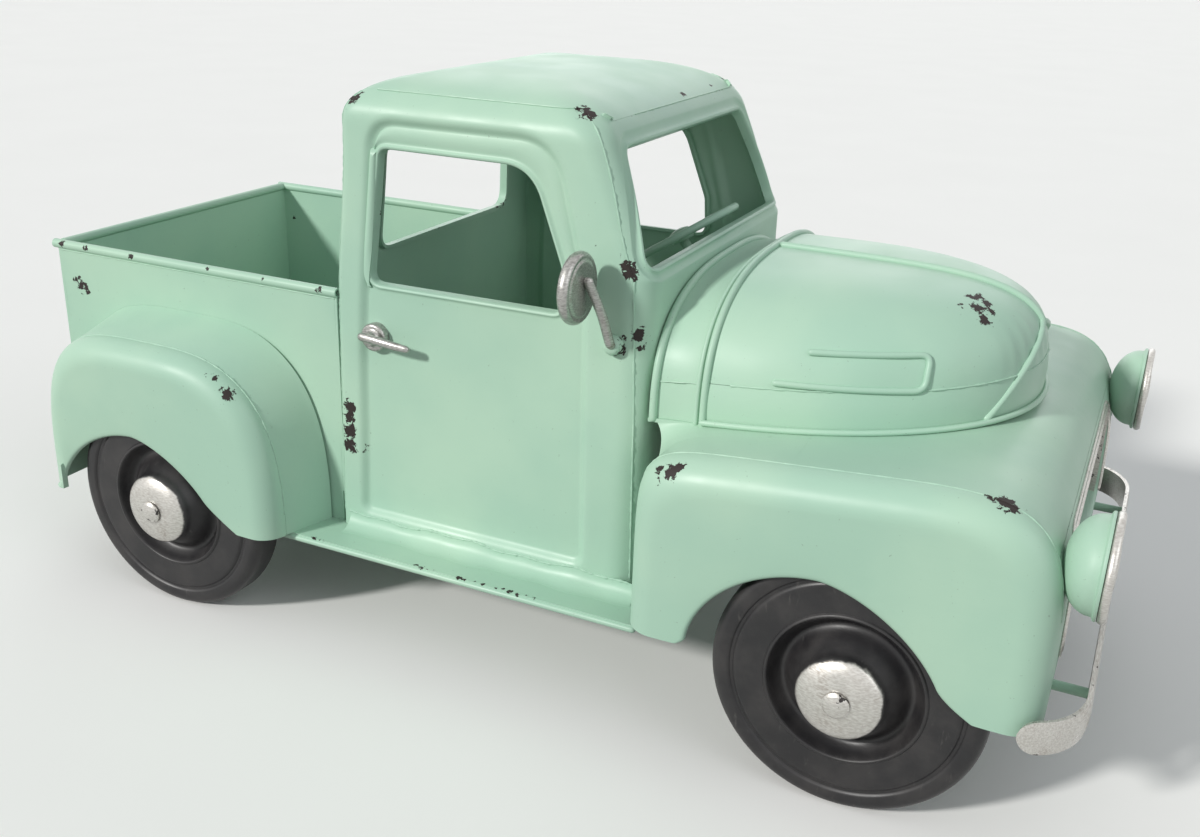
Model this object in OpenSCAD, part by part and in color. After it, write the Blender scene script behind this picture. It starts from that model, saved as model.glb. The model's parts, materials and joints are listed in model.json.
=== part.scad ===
// Push-along pressed-steel pickup truck. X runs forward, Y to its left, Z up; it stands on Z = 0.

/* [Overall] */
// Distance between the two axles
wheelbase = 264; // [255:1:320]
// Width over the flat faces of the fenders
fender_w = 198.8; // [180:0.2:240]
// Thickness of the body sheet
sheet_t = 1.2; // [0.8:0.1:1.5]

/* [Wheels] */
// Diameter of a wheel over its tyre
wheel_d = 86; // [72:1:88]
// Width of a wheel over its tyre
wheel_w = 14; // [12:1:18]
// Gap between the tyre's outer face and the inside of the fender skin
tyre_gap = 2.2; // [1.5:0.1:6]
// How far the pressed hub dome stands out from the tyre's face
hub_rise = 8.8; // [6:0.2:10]
// Diameter of the axle rods
axle_d = 5; // [4:0.5:6]
// Radial running clearance of a wheel bush on its axle
bush_fit = 0.08; // [0.04:0.01:0.1]

/* [Bed] */
// Distance from the rear axle back to the tailgate
bed_overhang = 70.4; // [66:0.2:90]
// Length of the bed outside
bed_l = 134.3; // [125:0.1:165]
// Width of the bed outside
bed_w = 139.6; // [116:0.2:142]
// Height of the bed's rim above the ground
bed_rim_z = 131.4; // [115:0.2:160]
// Height of the bed floor's upper side
bed_floor_z = 53.2; // [52:0.2:60]
// Radius of the rolled rim
rim_r = 1.8; // [1.5:0.1:2.5]

/* [Cab] */
// Gap between the bed and the cab
cab_gap = 2.6; // [0.4:0.1:4]
// Length of the cab at its foot
cab_l = 117.5; // [110:0.5:142]
// Width of the cab at its foot
cab_w = 143.8; // [120:0.2:146]
// Height of the cab roof above the ground
roof_z = 207; // [190:1:248]
// Height at which the windscreen starts to lean back
beltline_z = 150.5; // [140:0.5:156]
// Height of the lower sill of the side windows
sill_z = 138.5; // [130:0.5:146]
// How far the windscreen leans back for each unit of height
screen_lean = 0.428; // [0.3:0.01:0.5]
// Height of the running boards' upper side
board_z = 39.8; // [38:0.2:42]
// Width over the running boards
board_w = 176; // [170:1:180]

/* [Nose] */
// Length of the cowl between the cab and the hood
cowl_l = 19; // [12:0.5:23]
// Distance from the front axle to the front face
front_overhang = 56.5; // [54:0.5:68]
// Width of the hood at its rear foot
hood_w = 133; // [120:0.5:140]
// Height of the hood's crown above the ground
hood_z = 151.4; // [140:0.2:168]
// Distance from the hood's nose back to the front face
hood_setback = 22; // [16:0.5:28]
// Radius of a headlight over its rim
lamp_r = 16; // [12:0.5:17]
// Distance of each headlight's centre from the middle
lamp_y = 81; // [76:0.5:84]
// Height of the headlights' centres
lamp_z = 94.8; // [88:0.2:98]

/* [Bumper] */
// Height of the bumper strip
bumper_h = 11; // [9:0.5:14]
// Distance from the front face to the bumper's outside
bumper_reach = 12; // [10:0.5:16]

/* [Cab fittings] */
// Outside radius of the steering wheel
steer_r = 25; // [20:0.5:26]
// Lean of the steering column from upright, in degrees
column_lean = 33.2; // [30:0.2:36]
// Diameter of the steering column
column_d = 4; // [3:0.5:5]
// Radius of a mirror head
mirror_r = 11.6; // [9:0.2:14]

/* [Hidden] */
$fn = 64;

mint = "#b5d9c4";
black_paint = "#26262a";
silver_paint = "#c8c6c0";
steel = "#8d8f92";

// Places along the truck, measured from the rear axle
bed_back_x = -bed_overhang;
bed_front_x = bed_back_x + bed_l;
cab_back_x = bed_front_x + cab_gap;
cab_front_x = cab_back_x + cab_l;
hood_back_x = cab_front_x + cowl_l;
face_x = wheelbase + front_overhang;
hood_nose_x = face_x - hood_setback;
bumper_x = face_x + bumper_reach;
middle_x = (bumper_x + bed_back_x - rim_r) / 2;

// Heights and half widths
axle_z = wheel_d / 2;
fender_y = fender_w / 2;
bed_y = bed_w / 2;
cab_y = cab_w / 2;
board_y = board_w / 2;
wheel_y = fender_y - sheet_t - tyre_gap - wheel_w / 2;
bracket_z = bed_floor_z - sheet_t;
bracket_gap = 0.6;
bracket_y = wheel_y - wheel_w / 2 - bracket_gap;
bracket_half_l = 9;
eps = 0.01;

// Roundings between the fender skins and the panels beside them
front_round = 10;
rear_round = 9;
front_seam_y = fender_y - front_round;
rear_seam_y = fender_y - rear_round;

// Front fender outline: rear edge, foot height and slope of its top
fender_back_x = min(cab_front_x + 5, wheelbase - 60);
fender_foot_z = 45;
fender_mid_x = (face_x + fender_back_x) / 2;
fender_half_l = (face_x - fender_back_x) / 2;
fender_h = 65.65;
fender_tilt = 0.078 * fender_half_l;
fender_front_n = 4.6;
fender_back_n = 7;
grille_top_angle = 51;

function mix(a, b, k) = a + (b - a) * k;
function reverse(list) = [for (i = [len(list) - 1:-1:0]) list[i]];

// Arch-like outline in X and Z by polar angle, square-shouldered for large exponents
function hump(ang, mid, half, foot, high, front_n, back_n, tilt = 0) =
    let (n = cos(ang) >= 0 ? front_n : back_n,
         q = pow(pow(abs(cos(ang)), n) + pow(abs(sin(ang)), n), -1 / n))
    [mid + half * q * cos(ang), foot + (high + tilt * q * cos(ang)) * q * sin(ang)];

// Wheel opening: a hump whose feet flare outward into the fender's lower edge
function arch(ang, mid, half, foot, high, front_n, back_n, front_flare, back_flare) =
    let (p = hump(ang, mid, half, foot, high, front_n, back_n),
         flare = cos(ang) >= 0 ? front_flare : back_flare,
         k = max(0, 1 - (p[1] - foot) / max(flare, 1)))
    [p[0] + sign(cos(ang)) * flare * k * k, p[1]];

// Height of the deck between the front fenders
function deck_z(x) = fender_foot_z + fender_h + fender_tilt * (x - fender_mid_x) / fender_half_l;

// Unit normal of a grid of points, on the side that a row step crossed with a column step points to
function grid_normal(g, r, c) =
    let (a = g[min(r + 1, len(g) - 1)][c] - g[max(r - 1, 0)][c],
         b = g[r][min(c + 1, len(g[0]) - 1)] - g[r][max(c - 1, 0)],
         n = cross(a, b))
    n / norm(n);

// Closed sheet of even thickness behind a grid of surface points. The edge rows in held keep their place along
// the held axis, so that two sheets meet edge to edge.
module grid_sheet(g, t, held = [], axis = 1) {
    rows = len(g);
    cols = len(g[0]);
    n = rows * cols;
    inner = [for (r = [0:rows - 1]) for (c = [0:cols - 1])
        let (d = grid_normal(g, r, c),
             keep = len(search(r, held)) > 0)
        g[r][c] - t * [for (k = [0:2]) keep && k == axis ? 0 : d[k]]];
    points = concat([for (row = g) each row], inner);
    function at(r, c) = r * cols + c;
    cells = [for (r = [0:rows - 2]) for (c = [0:cols - 2]) [at(r, c), at(r, c + 1), at(r + 1, c + 1), at(r + 1, c)]];
    ring = concat(
        [for (c = [0:cols - 2]) [at(0, c + 1), at(0, c)]],
        [for (c = [0:cols - 2]) [at(rows - 1, c), at(rows - 1, c + 1)]],
        [for (r = [0:rows - 2]) [at(r, 0), at(r + 1, 0)]],
        [for (r = [0:rows - 2]) [at(r + 1, cols - 1), at(r, cols - 1)]]);
    polyhedron(points, concat(
        [for (q = cells) each [[q[0], q[1], q[2]], [q[0], q[2], q[3]]]],
        [for (q = cells) each [[n + q[0], n + q[2], n + q[1]], [n + q[0], n + q[3], n + q[2]]]],
        [for (e = ring) each [[e[0], e[1], n + e[1]], [e[0], n + e[1], n + e[0]]]]));
}

// Polygon corners given as [x, y, radius], each rounded with an arc
function rounded(corners, steps = 6) = [for (i = [0:len(corners) - 1])
    let (n = len(corners),
         p = [corners[i][0], corners[i][1]],
         a = [corners[(i + n - 1) % n][0], corners[(i + n - 1) % n][1]] - p,
         b = [corners[(i + 1) % n][0], corners[(i + 1) % n][1]] - p,
         ua = a / norm(a),
         ub = b / norm(b),
         half = acos(ua * ub) / 2,
         r = corners[i][2],
         centre = p + (ua + ub) / norm(ua + ub) * r / sin(half),
         start = p + ua * r / tan(half) - centre,
         turn = (180 - 2 * half) * sign(cross(ua, ub)))
    for (k = [0:steps])
        let (w = -turn * k / steps)
        centre + [start[0] * cos(w) - start[1] * sin(w), start[0] * sin(w) + start[1] * cos(w)]];

// Strip of even thickness below an open path
function strip(path, t) =
    let (last = len(path) - 1,
         under = [for (i = [0:last])
             let (d = path[min(i + 1, last)] - path[max(i - 1, 0)])
             path[i] + t * [d[1], -d[0]] / norm(d)])
    concat(path, reverse(under));

// Turns a drawing of X and Z into a solid between two Y places
module across(y0, y1) {
    translate([0, y1, 0]) rotate([90, 0, 0]) linear_extrude(y1 - y0) children();
}

// Moves from the rear axle's frame to the middle of the truck
module placed() {
    translate([-middle_x, 0, 0]) children();
}

module left_of() {
    mirror([0, 1, 0]) children();
}

// ---- Bed ----

module bed_floor() color(mint) placed()
    translate([bed_back_x + sheet_t, -bed_y + sheet_t, bracket_z])
        cube([bed_l - 2 * sheet_t, bed_w - 2 * sheet_t, sheet_t]);

bed_notch = 13;

module bed_side() {
    back = bed_back_x + sheet_t;
    front = bed_front_x - sheet_t;
    across(-bed_y, -bed_y + sheet_t) polygon([
        [back, board_z], [-bed_notch, board_z], [-bed_notch, bracket_z], [bed_notch, bracket_z],
        [bed_notch, board_z], [front, board_z], [front, bed_rim_z - rim_r], [back, bed_rim_z - rim_r]]);
    translate([bed_back_x - rim_r, -bed_y + sheet_t / 2, bed_rim_z - rim_r])
        rotate([0, 90, 0]) cylinder(r = rim_r, h = bed_l + rim_r);
}

module bed_side_right() color(mint) placed() bed_side();
module bed_side_left() color(mint) placed() left_of() bed_side();

module bed_front_panel() color(mint) placed()
    translate([bed_front_x - sheet_t, -bed_y, bracket_z])
        cube([sheet_t, bed_w, bed_rim_z - 2 * rim_r - bracket_z]);

module tailgate() color(mint) placed() {
    inside_y = bed_y - sheet_t / 2 - rim_r;
    translate([bed_back_x, -bed_y, board_z])
        cube([sheet_t, bed_w, bed_rim_z - 2 * rim_r - board_z]);
    translate([bed_back_x, -inside_y, bed_rim_z - 2 * rim_r - eps])
        cube([sheet_t, 2 * inside_y, rim_r]);
    translate([bed_back_x + sheet_t / 2, inside_y, bed_rim_z - rim_r])
        rotate([90, 0, 0]) cylinder(r = rim_r, h = 2 * inside_y);
}

// ---- Rear fenders ----

rear_foot_z = board_z;
rear_angles = [for (i = [40:-1:0]) i * 4.5];
// The fender moves back with a cab that stands close behind the axle
rear_shift = min(0, cab_back_x - 58.2);

function rear_outline(ang, inset = 0) =
    hump(ang, rear_shift - 3.5, 55 - inset, rear_foot_z, 65.2 - inset, 2.8, 4);
function rear_inner_outline(ang) = hump(ang, rear_shift - 0.5, 58, rear_foot_z, 72, 2.8, 4);
function rear_opening(ang) = arch(ang, rear_shift - 13, 37.5, rear_foot_z, 28.4, 1.5, 1.8, 10, 3);

// Skin of a wheel fender: rounded from its seam to a flat face that ends at the wheel opening
function skin_grid(angles, seam_y, round_r, outlines, opening) = concat(
    [for (i = [0:len(outlines) - 1]) [for (j = [0:len(angles) - 1])
        [outlines[i][j][0], -seam_y - round_r * sin(90 * i / (len(outlines) - 1)), outlines[i][j][1]]]],
    [for (k = [1:4]) [for (j = [0:len(angles) - 1])
        let (p = mix(outlines[len(outlines) - 1][j], opening[j], k / 4))
        [p[0], -seam_y - round_r, p[1]]]]);

module rear_fender() {
    rounding = [for (i = [0:5]) rear_round * (1 - cos(18 * i))];
    grid_sheet(skin_grid(rear_angles, rear_seam_y, rear_round,
        [for (inset = rounding) [for (ang = rear_angles) rear_outline(ang, inset)]],
        [for (ang = rear_angles) rear_opening(ang)]), sheet_t, [0]);
}

module rear_fender_right() color(mint) placed() rear_fender();
module rear_fender_left() color(mint) placed() left_of() rear_fender();

// Curved panel that joins the bed side to the rear fender's seam
module rear_arch() {
    grid_sheet([for (k = [0:4]) [for (ang = rear_angles)
        let (p = mix(rear_inner_outline(ang), rear_outline(ang), k / 4))
        [p[0], -mix(bed_y, rear_seam_y, k / 4), p[1]]]], sheet_t, [0, 4]);
}

module rear_arch_right() color(mint) placed() rear_arch();
module rear_arch_left() color(mint) placed() left_of() rear_arch();

// ---- Floor ----

board_back_x = wheel_d / 2 + 3;
board_front_x = fender_back_x - 2;

module floor_pan() color(mint) placed()
    translate([board_back_x, -cab_y, board_z - sheet_t])
        cube([cab_front_x - board_back_x, cab_w, sheet_t]);

module running_board() {
    translate([board_back_x, -board_y, board_z - sheet_t])
        cube([board_front_x - board_back_x, board_y - cab_y, sheet_t]);
    translate([board_back_x, -board_y + sheet_t / 2, board_z - 1.5 * sheet_t])
        rotate([0, 90, 0]) cylinder(r = 1.2, h = board_front_x - board_back_x);
}

module running_board_right() color(mint) placed() running_board();
module running_board_left() color(mint) placed() left_of() running_board();

// ---- Cab ----

cab_back_round = 4;
cab_front_round = 10;
cab_tumble = 0.026;
roof_steps = [[0, 17], [1.8, 11], [5, 7], [10, 4], [17, 2], [29, 0.6], [43, 0]];
seam_lean = atan(cab_tumble) + 1.4;

// One level of the cab's outline, as [height, inset]
function cab_front_at(z) = cab_front_x - screen_lean * max(0, z - beltline_z);
module cab_slice(z, inset, t) {
    x0 = cab_back_x + inset + t;
    x1 = cab_front_at(z) - inset - t;
    y = cab_y - cab_tumble * (z - board_z) - inset - t;
    translate([0, 0, z - eps]) linear_extrude(eps) polygon(rounded([
        [x0, -y, cab_back_round], [x1, -y, cab_front_round],
        [x1, y, cab_front_round], [x0, y, cab_back_round]]));
}

module cab_form(t) {
    hull() {
        cab_slice(board_z + eps - (t > 0 ? 1 : 0), 0, t);
        cab_slice(beltline_z, 0, t);
        for (s = roof_steps) cab_slice(roof_z - s[1] - t, s[0], t);
    }
}

module cab_shell() {
    difference() {
        cab_form(0);
        cab_form(sheet_t);
    }
}

// Half space beyond the seam between a cab side and the panels beside it
seam_foot_y = cab_y - 2.2;
module cab_seam_space() {
    translate([cab_back_x - 5, -seam_foot_y, board_z]) rotate([-seam_lean, 0, 0])
        translate([0, -40, -10]) cube([cab_l + 10, 40, roof_z]);
}

side_window = [[cab_back_x + 15.5, sill_z, 4], [cab_back_x + 17, roof_z - 24, 3],
    [cab_front_x - 43, roof_z - 22.5, 16], [cab_front_x - 29.8, sill_z + 1, 1]];
screen_foot_y = cab_y - 7.2;
screen_head_y = cab_y - 17.1;
screen_foot_z = beltline_z + 3.4;
screen_head_z = roof_z - 17.7;
back_window_y = cab_y - 25;

module cab_side() {
    difference() {
        intersection() {
            cab_shell();
            cab_seam_space();
        }
        across(-cab_y - 1, -cab_y + 20) polygon(rounded(side_window));
    }
}

module cab_side_right() color(mint) placed() cab_side();
module cab_side_left() color(mint) placed() left_of() cab_side();

// Part of the cab shell between the two side seams and between two X places and two heights
module cab_middle(x0, x1, z0, z1) {
    difference() {
        intersection() {
            cab_shell();
            translate([x0, -cab_y, z0]) cube([x1 - x0, cab_w, z1 - z0]);
        }
        cab_seam_space();
        left_of() cab_seam_space();
    }
}

roof_seam_z = roof_z - 6;
cab_split_x = cab_back_x + 40;

module cab_back_panel() color(mint) placed() difference() {
    cab_middle(cab_back_x - 1, cab_split_x, board_z, roof_seam_z);
    translate([cab_back_x - 1, 0, 0]) rotate([90, 0, 90]) linear_extrude(20) polygon(rounded([
        [-back_window_y, sill_z + 3, 6], [back_window_y, sill_z + 3, 6],
        [back_window_y - 3, roof_z - 26, 8], [3 - back_window_y, roof_z - 26, 8]]));
}

module cab_front_panel() color(mint) placed() difference() {
    cab_middle(cab_split_x, cab_front_x + 1, board_z, roof_seam_z);
    translate([cab_split_x, 0, 0]) rotate([90, 0, 90]) linear_extrude(cab_l) polygon(rounded([
        [-screen_foot_y, screen_foot_z, 3], [screen_foot_y, screen_foot_z, 3],
        [screen_head_y, screen_head_z, 5], [-screen_head_y, screen_head_z, 5]]));
}

module cab_roof() color(mint) placed()
    cab_middle(cab_back_x - 1, cab_front_x + 1, roof_seam_z, roof_z + 1);

// ---- Cowl and hood ----

hood_y = hood_w / 2;
hood_l = hood_nose_x - hood_back_x;
hood_foot_z = deck_z(hood_back_x);
hood_h = hood_z - hood_foot_z;
hood_seam_z = hood_foot_z + 16.4;
hood_plan_n = 2.2;
side_n = 2.8;
nose_n = 5;
cowl_back_y = hood_y - 0.5;
cowl_back_z = hood_z - 5;

// Exponent of the hood's upright section, sharper towards the nose
function hood_n(ang) = mix(side_n, nose_n, pow(cos(ang), 2));

// Hood surface by plan angle, from the right side over the nose to the left: share of the plan's reach at a
// height, height at a share, and the point
function hood_share(ang, z) =
    let (n = hood_n(ang))
    pow(max(0, 1 - pow((z - hood_foot_z) / hood_h, n)), 1 / n);
function hood_height(ang, f) =
    let (n = hood_n(ang))
    hood_foot_z + hood_h * pow(1 - pow(f, n), 1 / n);
function hood_point(ang, f, z) =
    let (e = 2 / hood_plan_n)
    [hood_back_x + hood_l * pow(cos(ang), e) * f, hood_y * sign(sin(ang)) * pow(abs(sin(ang)), e) * f, z];

hood_angles = [for (i = [18:-1:-18]) i * 5];

// Skirt of the hood, from the deck up to the side seam
module hood_skirt() color(mint) placed()
    grid_sheet([for (k = [0:3]) [for (ang = hood_angles)
        let (foot = hood_point(ang, 1, hood_foot_z),
             z = mix(deck_z(foot[0]) + 0.05, hood_seam_z, k / 3))
        hood_point(ang, hood_share(ang, max(z, hood_foot_z)), z)]], sheet_t, [0, 3], 2);

// Upper pressing of the hood, from the side seam over the crown
module hood_top() color(mint) placed()
    grid_sheet([for (k = [0:12]) [for (ang = hood_angles)
        let (f = hood_share(ang, hood_seam_z) * cos(89 * pow(k / 12, 0.85)))
        hood_point(ang, f, hood_height(ang, f))]], sheet_t, [0], 2);

// Height of the hood along its middle
function crown_z(x) = hood_foot_z + hood_h * pow(1 - pow(abs(x - hood_back_x) / hood_l, nose_n), 1 / nose_n);

// Raised bead along the middle of the hood
module hood_centre_bead() color(mint) placed() {
    path = [for (i = [0:16])
        let (x = mix(hood_back_x + 0.4, hood_nose_x - 4, sin(90 * i / 16)),
             slope = (crown_z(x + 0.1) - crown_z(x - 0.1)) / 0.2)
        [x, crown_z(x) + 1.35 * norm([1, slope])]];
    across(-1.5, 1.5) polygon(strip(path, 1.2));
}

cowl_angles = [for (i = [0:30]) i * 6];
module cowl() color(mint) placed()
    grid_sheet([for (k = [0:2]) [for (ang = cowl_angles)
        let (x = mix(cab_front_x, hood_back_x, k / 2),
             y = mix(cowl_back_y, hood_y, k / 2),
             foot = deck_z(x) + 0.05,
             high = mix(cowl_back_z, hood_z, k / 2) - foot,
             c = cos(180 - ang),
             s = sin(ang),
             q = pow(pow(abs(c), side_n) + pow(s, side_n), -1 / side_n))
        [x, y * q * c, foot + high * q * s]]], sheet_t, [0, 2], 0);

// ---- Front fenders, deck and grille ----

front_angles = [for (i = [40:-1:0]) i * 4.5];

function front_outline(ang, inset = 0) =
    hump(ang, fender_mid_x, fender_half_l - inset, fender_foot_z, fender_h - inset,
         fender_front_n, fender_back_n, fender_tilt);
function front_opening(ang) = arch(ang, wheelbase - 11, 40, fender_foot_z, 33, 1.6, 1.85, 8, 2);

module front_fender() {
    rounding = [for (i = [0:5]) front_round * (1 - cos(18 * i))];
    grid_sheet(skin_grid(front_angles, front_seam_y, front_round,
        [for (inset = rounding) [for (ang = front_angles) front_outline(ang, inset)]],
        [for (ang = front_angles) front_opening(ang)]), sheet_t, [0]);
}

module front_fender_right() color(mint) placed() front_fender();
module front_fender_left() color(mint) placed() left_of() front_fender();

// Deck that rolls down to the grille, with a strip behind each fender that also closes its rear
module nose_panel() color(mint) placed() {
    front = [for (ang = [grille_top_angle + 0.3:3:105]) front_outline(ang)];
    back = [for (ang = [108:4:176]) front_outline(ang)];
    inner_y = cab_y + 0.6;
    across(-inner_y, inner_y) polygon(strip(reverse(concat(front, [[cab_front_x, deck_z(cab_front_x)]])), sheet_t));
    for (side = [-1, 1]) {
        y0 = side < 0 ? -front_seam_y : inner_y - eps;
        across(y0, y0 + front_seam_y - inner_y + eps)
            polygon(strip(reverse(concat(front, back, [front_outline(180)])), sheet_t));
    }
}

grille_y = 64;
grille_foot_z = 56;
grille_h = 36;
module grille_panel() color(mint) placed() difference() {
    across(-front_seam_y, front_seam_y)
        polygon(strip(reverse([for (ang = [0:3:grille_top_angle]) front_outline(ang)]), sheet_t));
    translate([face_x - 20, -grille_y, grille_foot_z]) cube([30, 2 * grille_y, grille_h]);
    for (side = [-1, 1])
        translate([face_x - 20, side * lamp_y, lamp_z]) rotate([0, 90, 0]) cylinder(r = lamp_seat_r, h = 40);
}

grille_back_x = face_x - 5.5;
trim_t = 1.2;
bar_y = grille_y - trim_t;
module grille_bars() color(silver_paint) placed() {
    for (i = [0:4])
        translate([grille_back_x, -bar_y, grille_foot_z + 5 + 6.6 * i]) rotate([-90, 0, 0])
            cylinder(r = 1.4, h = 2 * bar_y, $fn = 24);
    for (y = [-32, 0, 32])
        translate([grille_back_x - 2.2, y - 2, grille_foot_z]) cube([1.2, 4, 33]);
}

// Painted strips that frame the grille opening and carry the bars
module grille_trim() color(silver_paint) placed() {
    for (side = [-1, 1])
        translate([grille_back_x - 2.4, side * (grille_y - trim_t / 2) - trim_t / 2, grille_foot_z])
            cube([7, trim_t, grille_h - 2]);
    for (z = [grille_foot_z - trim_t, grille_foot_z + grille_h - 2])
        translate([grille_back_x - 2.4, -grille_y, z]) cube([z < grille_foot_z ? 6.6 : 4.6, 2 * grille_y, trim_t]);
}

// ---- Frame and axles ----

rail_y = 40;
rail_h = 10;
module frame_rail() {
    length = grille_back_x - 2.4 - cab_front_x;
    translate([cab_front_x, -rail_y, bracket_z]) {
        cube([length, sheet_t, rail_h]);
        cube([length - 8, 8, sheet_t]);
        translate([0, 0, rail_h - sheet_t]) cube([length - 8, 8, sheet_t]);
    }
}

module frame_rail_right() color(steel) placed() frame_rail();
module frame_rail_left() color(steel) placed() left_of() frame_rail();

// Folded bracket: a cross plate with an ear at each end that holds the axle
axle_hole_fit = 0.05;
module axle_bracket() {
    translate([-bracket_half_l, -bracket_y, bracket_z - sheet_t])
        cube([2 * bracket_half_l, 2 * bracket_y, sheet_t]);
    for (side = [-1, 1]) difference() {
        union() {
            translate([-bracket_half_l, side > 0 ? bracket_y - sheet_t : -bracket_y, axle_z])
                cube([2 * bracket_half_l, sheet_t, bracket_z - axle_z - eps]);
            translate([0, side * (bracket_y - sheet_t / 2) + sheet_t / 2, axle_z])
                rotate([90, 0, 0]) cylinder(r = bracket_half_l, h = sheet_t);
        }
        translate([0, side * bracket_y + 3, axle_z])
            rotate([90, 0, 0]) cylinder(r = axle_d / 2 + axle_hole_fit, h = 6);
    }
}

module front_axle_bracket() color(steel) placed() translate([wheelbase, 0, 0]) axle_bracket();
module rear_axle_bracket() color(steel) placed() axle_bracket();

head_gap = 0.3;
hub_face_y = wheel_y + wheel_w / 2 + hub_rise;
module axle() {
    shank_y = hub_face_y + head_gap;
    translate([0, shank_y, axle_z]) rotate([90, 0, 0]) cylinder(d = axle_d, h = 2 * shank_y);
    for (side = [-1, 1])
        translate([0, side * shank_y, axle_z]) rotate([-90 * side, 0, 0]) rotate_extrude()
            polygon([[0, -eps], [axle_d * 0.85, -eps], [axle_d * 0.85, 0.5], [axle_d * 0.7, 1.1], [axle_d * 0.3, 1.6],
                     [0, 1.7]]);
}

module front_axle() color(silver_paint) placed() translate([wheelbase, 0, 0]) axle();
module rear_axle() color(silver_paint) placed() axle();

// ---- Wheels ----

tyre_r = wheel_d / 2;
tyre_round = 3.5;
press_t = 1.2;
half_w = wheel_w / 2;
hole_r = axle_d / 2 + 0.2;
bush_wall = 1.4;

function quarter(cx, cy, r, a0, a1) = [for (i = [0:6]) let (a = mix(a0, a1, i / 6)) [cx + r * cos(a), cy + r * sin(a)]];

// Places one wheel piece: axial drawings point outward, to the right side
module at_wheel(x, side) {
    translate([x, side * wheel_y, axle_z]) rotate([side < 0 ? 90 : -90, 0, 0]) children();
}

// Outer pressing: tyre, groove, flat ring, dished web and hub dome
module wheel_face() {
    rim_x = tyre_r - tyre_round;
    rim_y = half_w - tyre_round;
    rotate_extrude($fn = 96) polygon(concat(
        [[tyre_r, 0]], quarter(rim_x, rim_y, tyre_round, 0, 90),
        [[tyre_r - 6.1, half_w], [tyre_r - 6.6, half_w - 0.7], [tyre_r - 7.4, half_w - 0.7],
         [tyre_r - 7.9, half_w], [25.6, half_w], [25, half_w + 0.6], [24.2, half_w + 0.4],
         [22.5, half_w - 2.5], [20.5, half_w - 4.4], [18.6, half_w - 3.6], [16.4, half_w - 0.5],
         [14.4, half_w + 3], [13.2, half_w + hub_rise - 2.8], [10.5, half_w + hub_rise - 1.2],
         [7, half_w + hub_rise - 0.4], [hole_r, half_w + hub_rise]],
        [[hole_r, half_w + hub_rise - press_t], [6.8, half_w + hub_rise - 1.6], [9.9, half_w + hub_rise - 2.3],
         [12.2, half_w + hub_rise - 3.6], [13.3, half_w + 2.6], [15.3, half_w - 1], [17.9, half_w - 4.7],
         [20, half_w - 5.6], [21.3, half_w - 5.5], [23.5, half_w - 3.4], [25.4, half_w - press_t]],
        reverse(quarter(rim_x, rim_y, tyre_round - press_t, 0, 90)), [[tyre_r - press_t, 0]]));
}

// Inner pressing: the other half of the tyre and a flat disc
module wheel_back() {
    rim_x = tyre_r - tyre_round;
    rim_y = tyre_round - half_w;
    rotate_extrude($fn = 96) polygon(concat(
        [[tyre_r - press_t, 0]], reverse(quarter(rim_x, rim_y, tyre_round - press_t, -90, 0)),
        [[hole_r, press_t - half_w], [hole_r, -half_w]],
        quarter(rim_x, rim_y, tyre_round, -90, 0), [[tyre_r, 0]]));
}

// Bush that spaces the two pressings and turns on the axle
module hub_bush() {
    length = wheel_w + hub_rise - 2 * press_t - 0.4;
    translate([0, 0, press_t - half_w]) difference() {
        cylinder(r = axle_d / 2 + bush_fit + bush_wall, h = length);
        translate([0, 0, -1]) cylinder(r = axle_d / 2 + bush_fit, h = length + 2);
    }
}

module wheel_face_front_right() color(black_paint) placed() at_wheel(wheelbase, -1) wheel_face();
module wheel_back_front_right() color(black_paint) placed() at_wheel(wheelbase, -1) wheel_back();
module hub_bush_front_right() color(steel) placed() at_wheel(wheelbase, -1) hub_bush();
module wheel_face_front_left() color(black_paint) placed() at_wheel(wheelbase, 1) wheel_face();
module wheel_back_front_left() color(black_paint) placed() at_wheel(wheelbase, 1) wheel_back();
module hub_bush_front_left() color(steel) placed() at_wheel(wheelbase, 1) hub_bush();
module wheel_face_rear_right() color(black_paint) placed() at_wheel(0, -1) wheel_face();
module wheel_back_rear_right() color(black_paint) placed() at_wheel(0, -1) wheel_back();
module hub_bush_rear_right() color(steel) placed() at_wheel(0, -1) hub_bush();
module wheel_face_rear_left() color(black_paint) placed() at_wheel(0, 1) wheel_face();
module wheel_back_rear_left() color(black_paint) placed() at_wheel(0, 1) wheel_back();
module hub_bush_rear_left() color(steel) placed() at_wheel(0, 1) hub_bush();

// ---- Bumper and headlights ----

bumper_t = 1.4;
bumper_z = 42;
bumper_end_x = 18;
bumper_tip_y = fender_y + 3;
bumper_straight_y = fender_y - 20;

module bumper() color(silver_paint) placed() {
    half = concat([[bumper_x, 0]], [for (i = [0:12]) let (a = 90 * i / 12)
        [bumper_x - bumper_end_x * (1 - cos(a)), bumper_straight_y + (bumper_tip_y - bumper_straight_y) * sin(a)]]);
    right = [for (p = reverse(half)) [p[0], -p[1]]];
    path = concat(right, [for (i = [1:len(half) - 1]) half[i]]);
    translate([0, 0, bumper_z]) linear_extrude(bumper_h)
        polygon(strip([for (p = reverse(path)) p], bumper_t));
}

bracket_rod_y = 70;
module bumper_brackets() color(mint) placed()
    for (side = [-1, 1])
        translate([face_x - eps, side * bracket_rod_y, bumper_z + bumper_h / 2])
            rotate([0, 90, 0]) cylinder(d = 3.2, h = bumper_reach - bumper_t + eps);

lamp_back_x = face_x - 3.4;
lamp_depth = 12;
lamp_seat_r = 0.64 * lamp_r;

module at_lamp(side) {
    translate([lamp_back_x, side * lamp_y, lamp_z]) rotate([0, 90, 0]) children();
}

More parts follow.
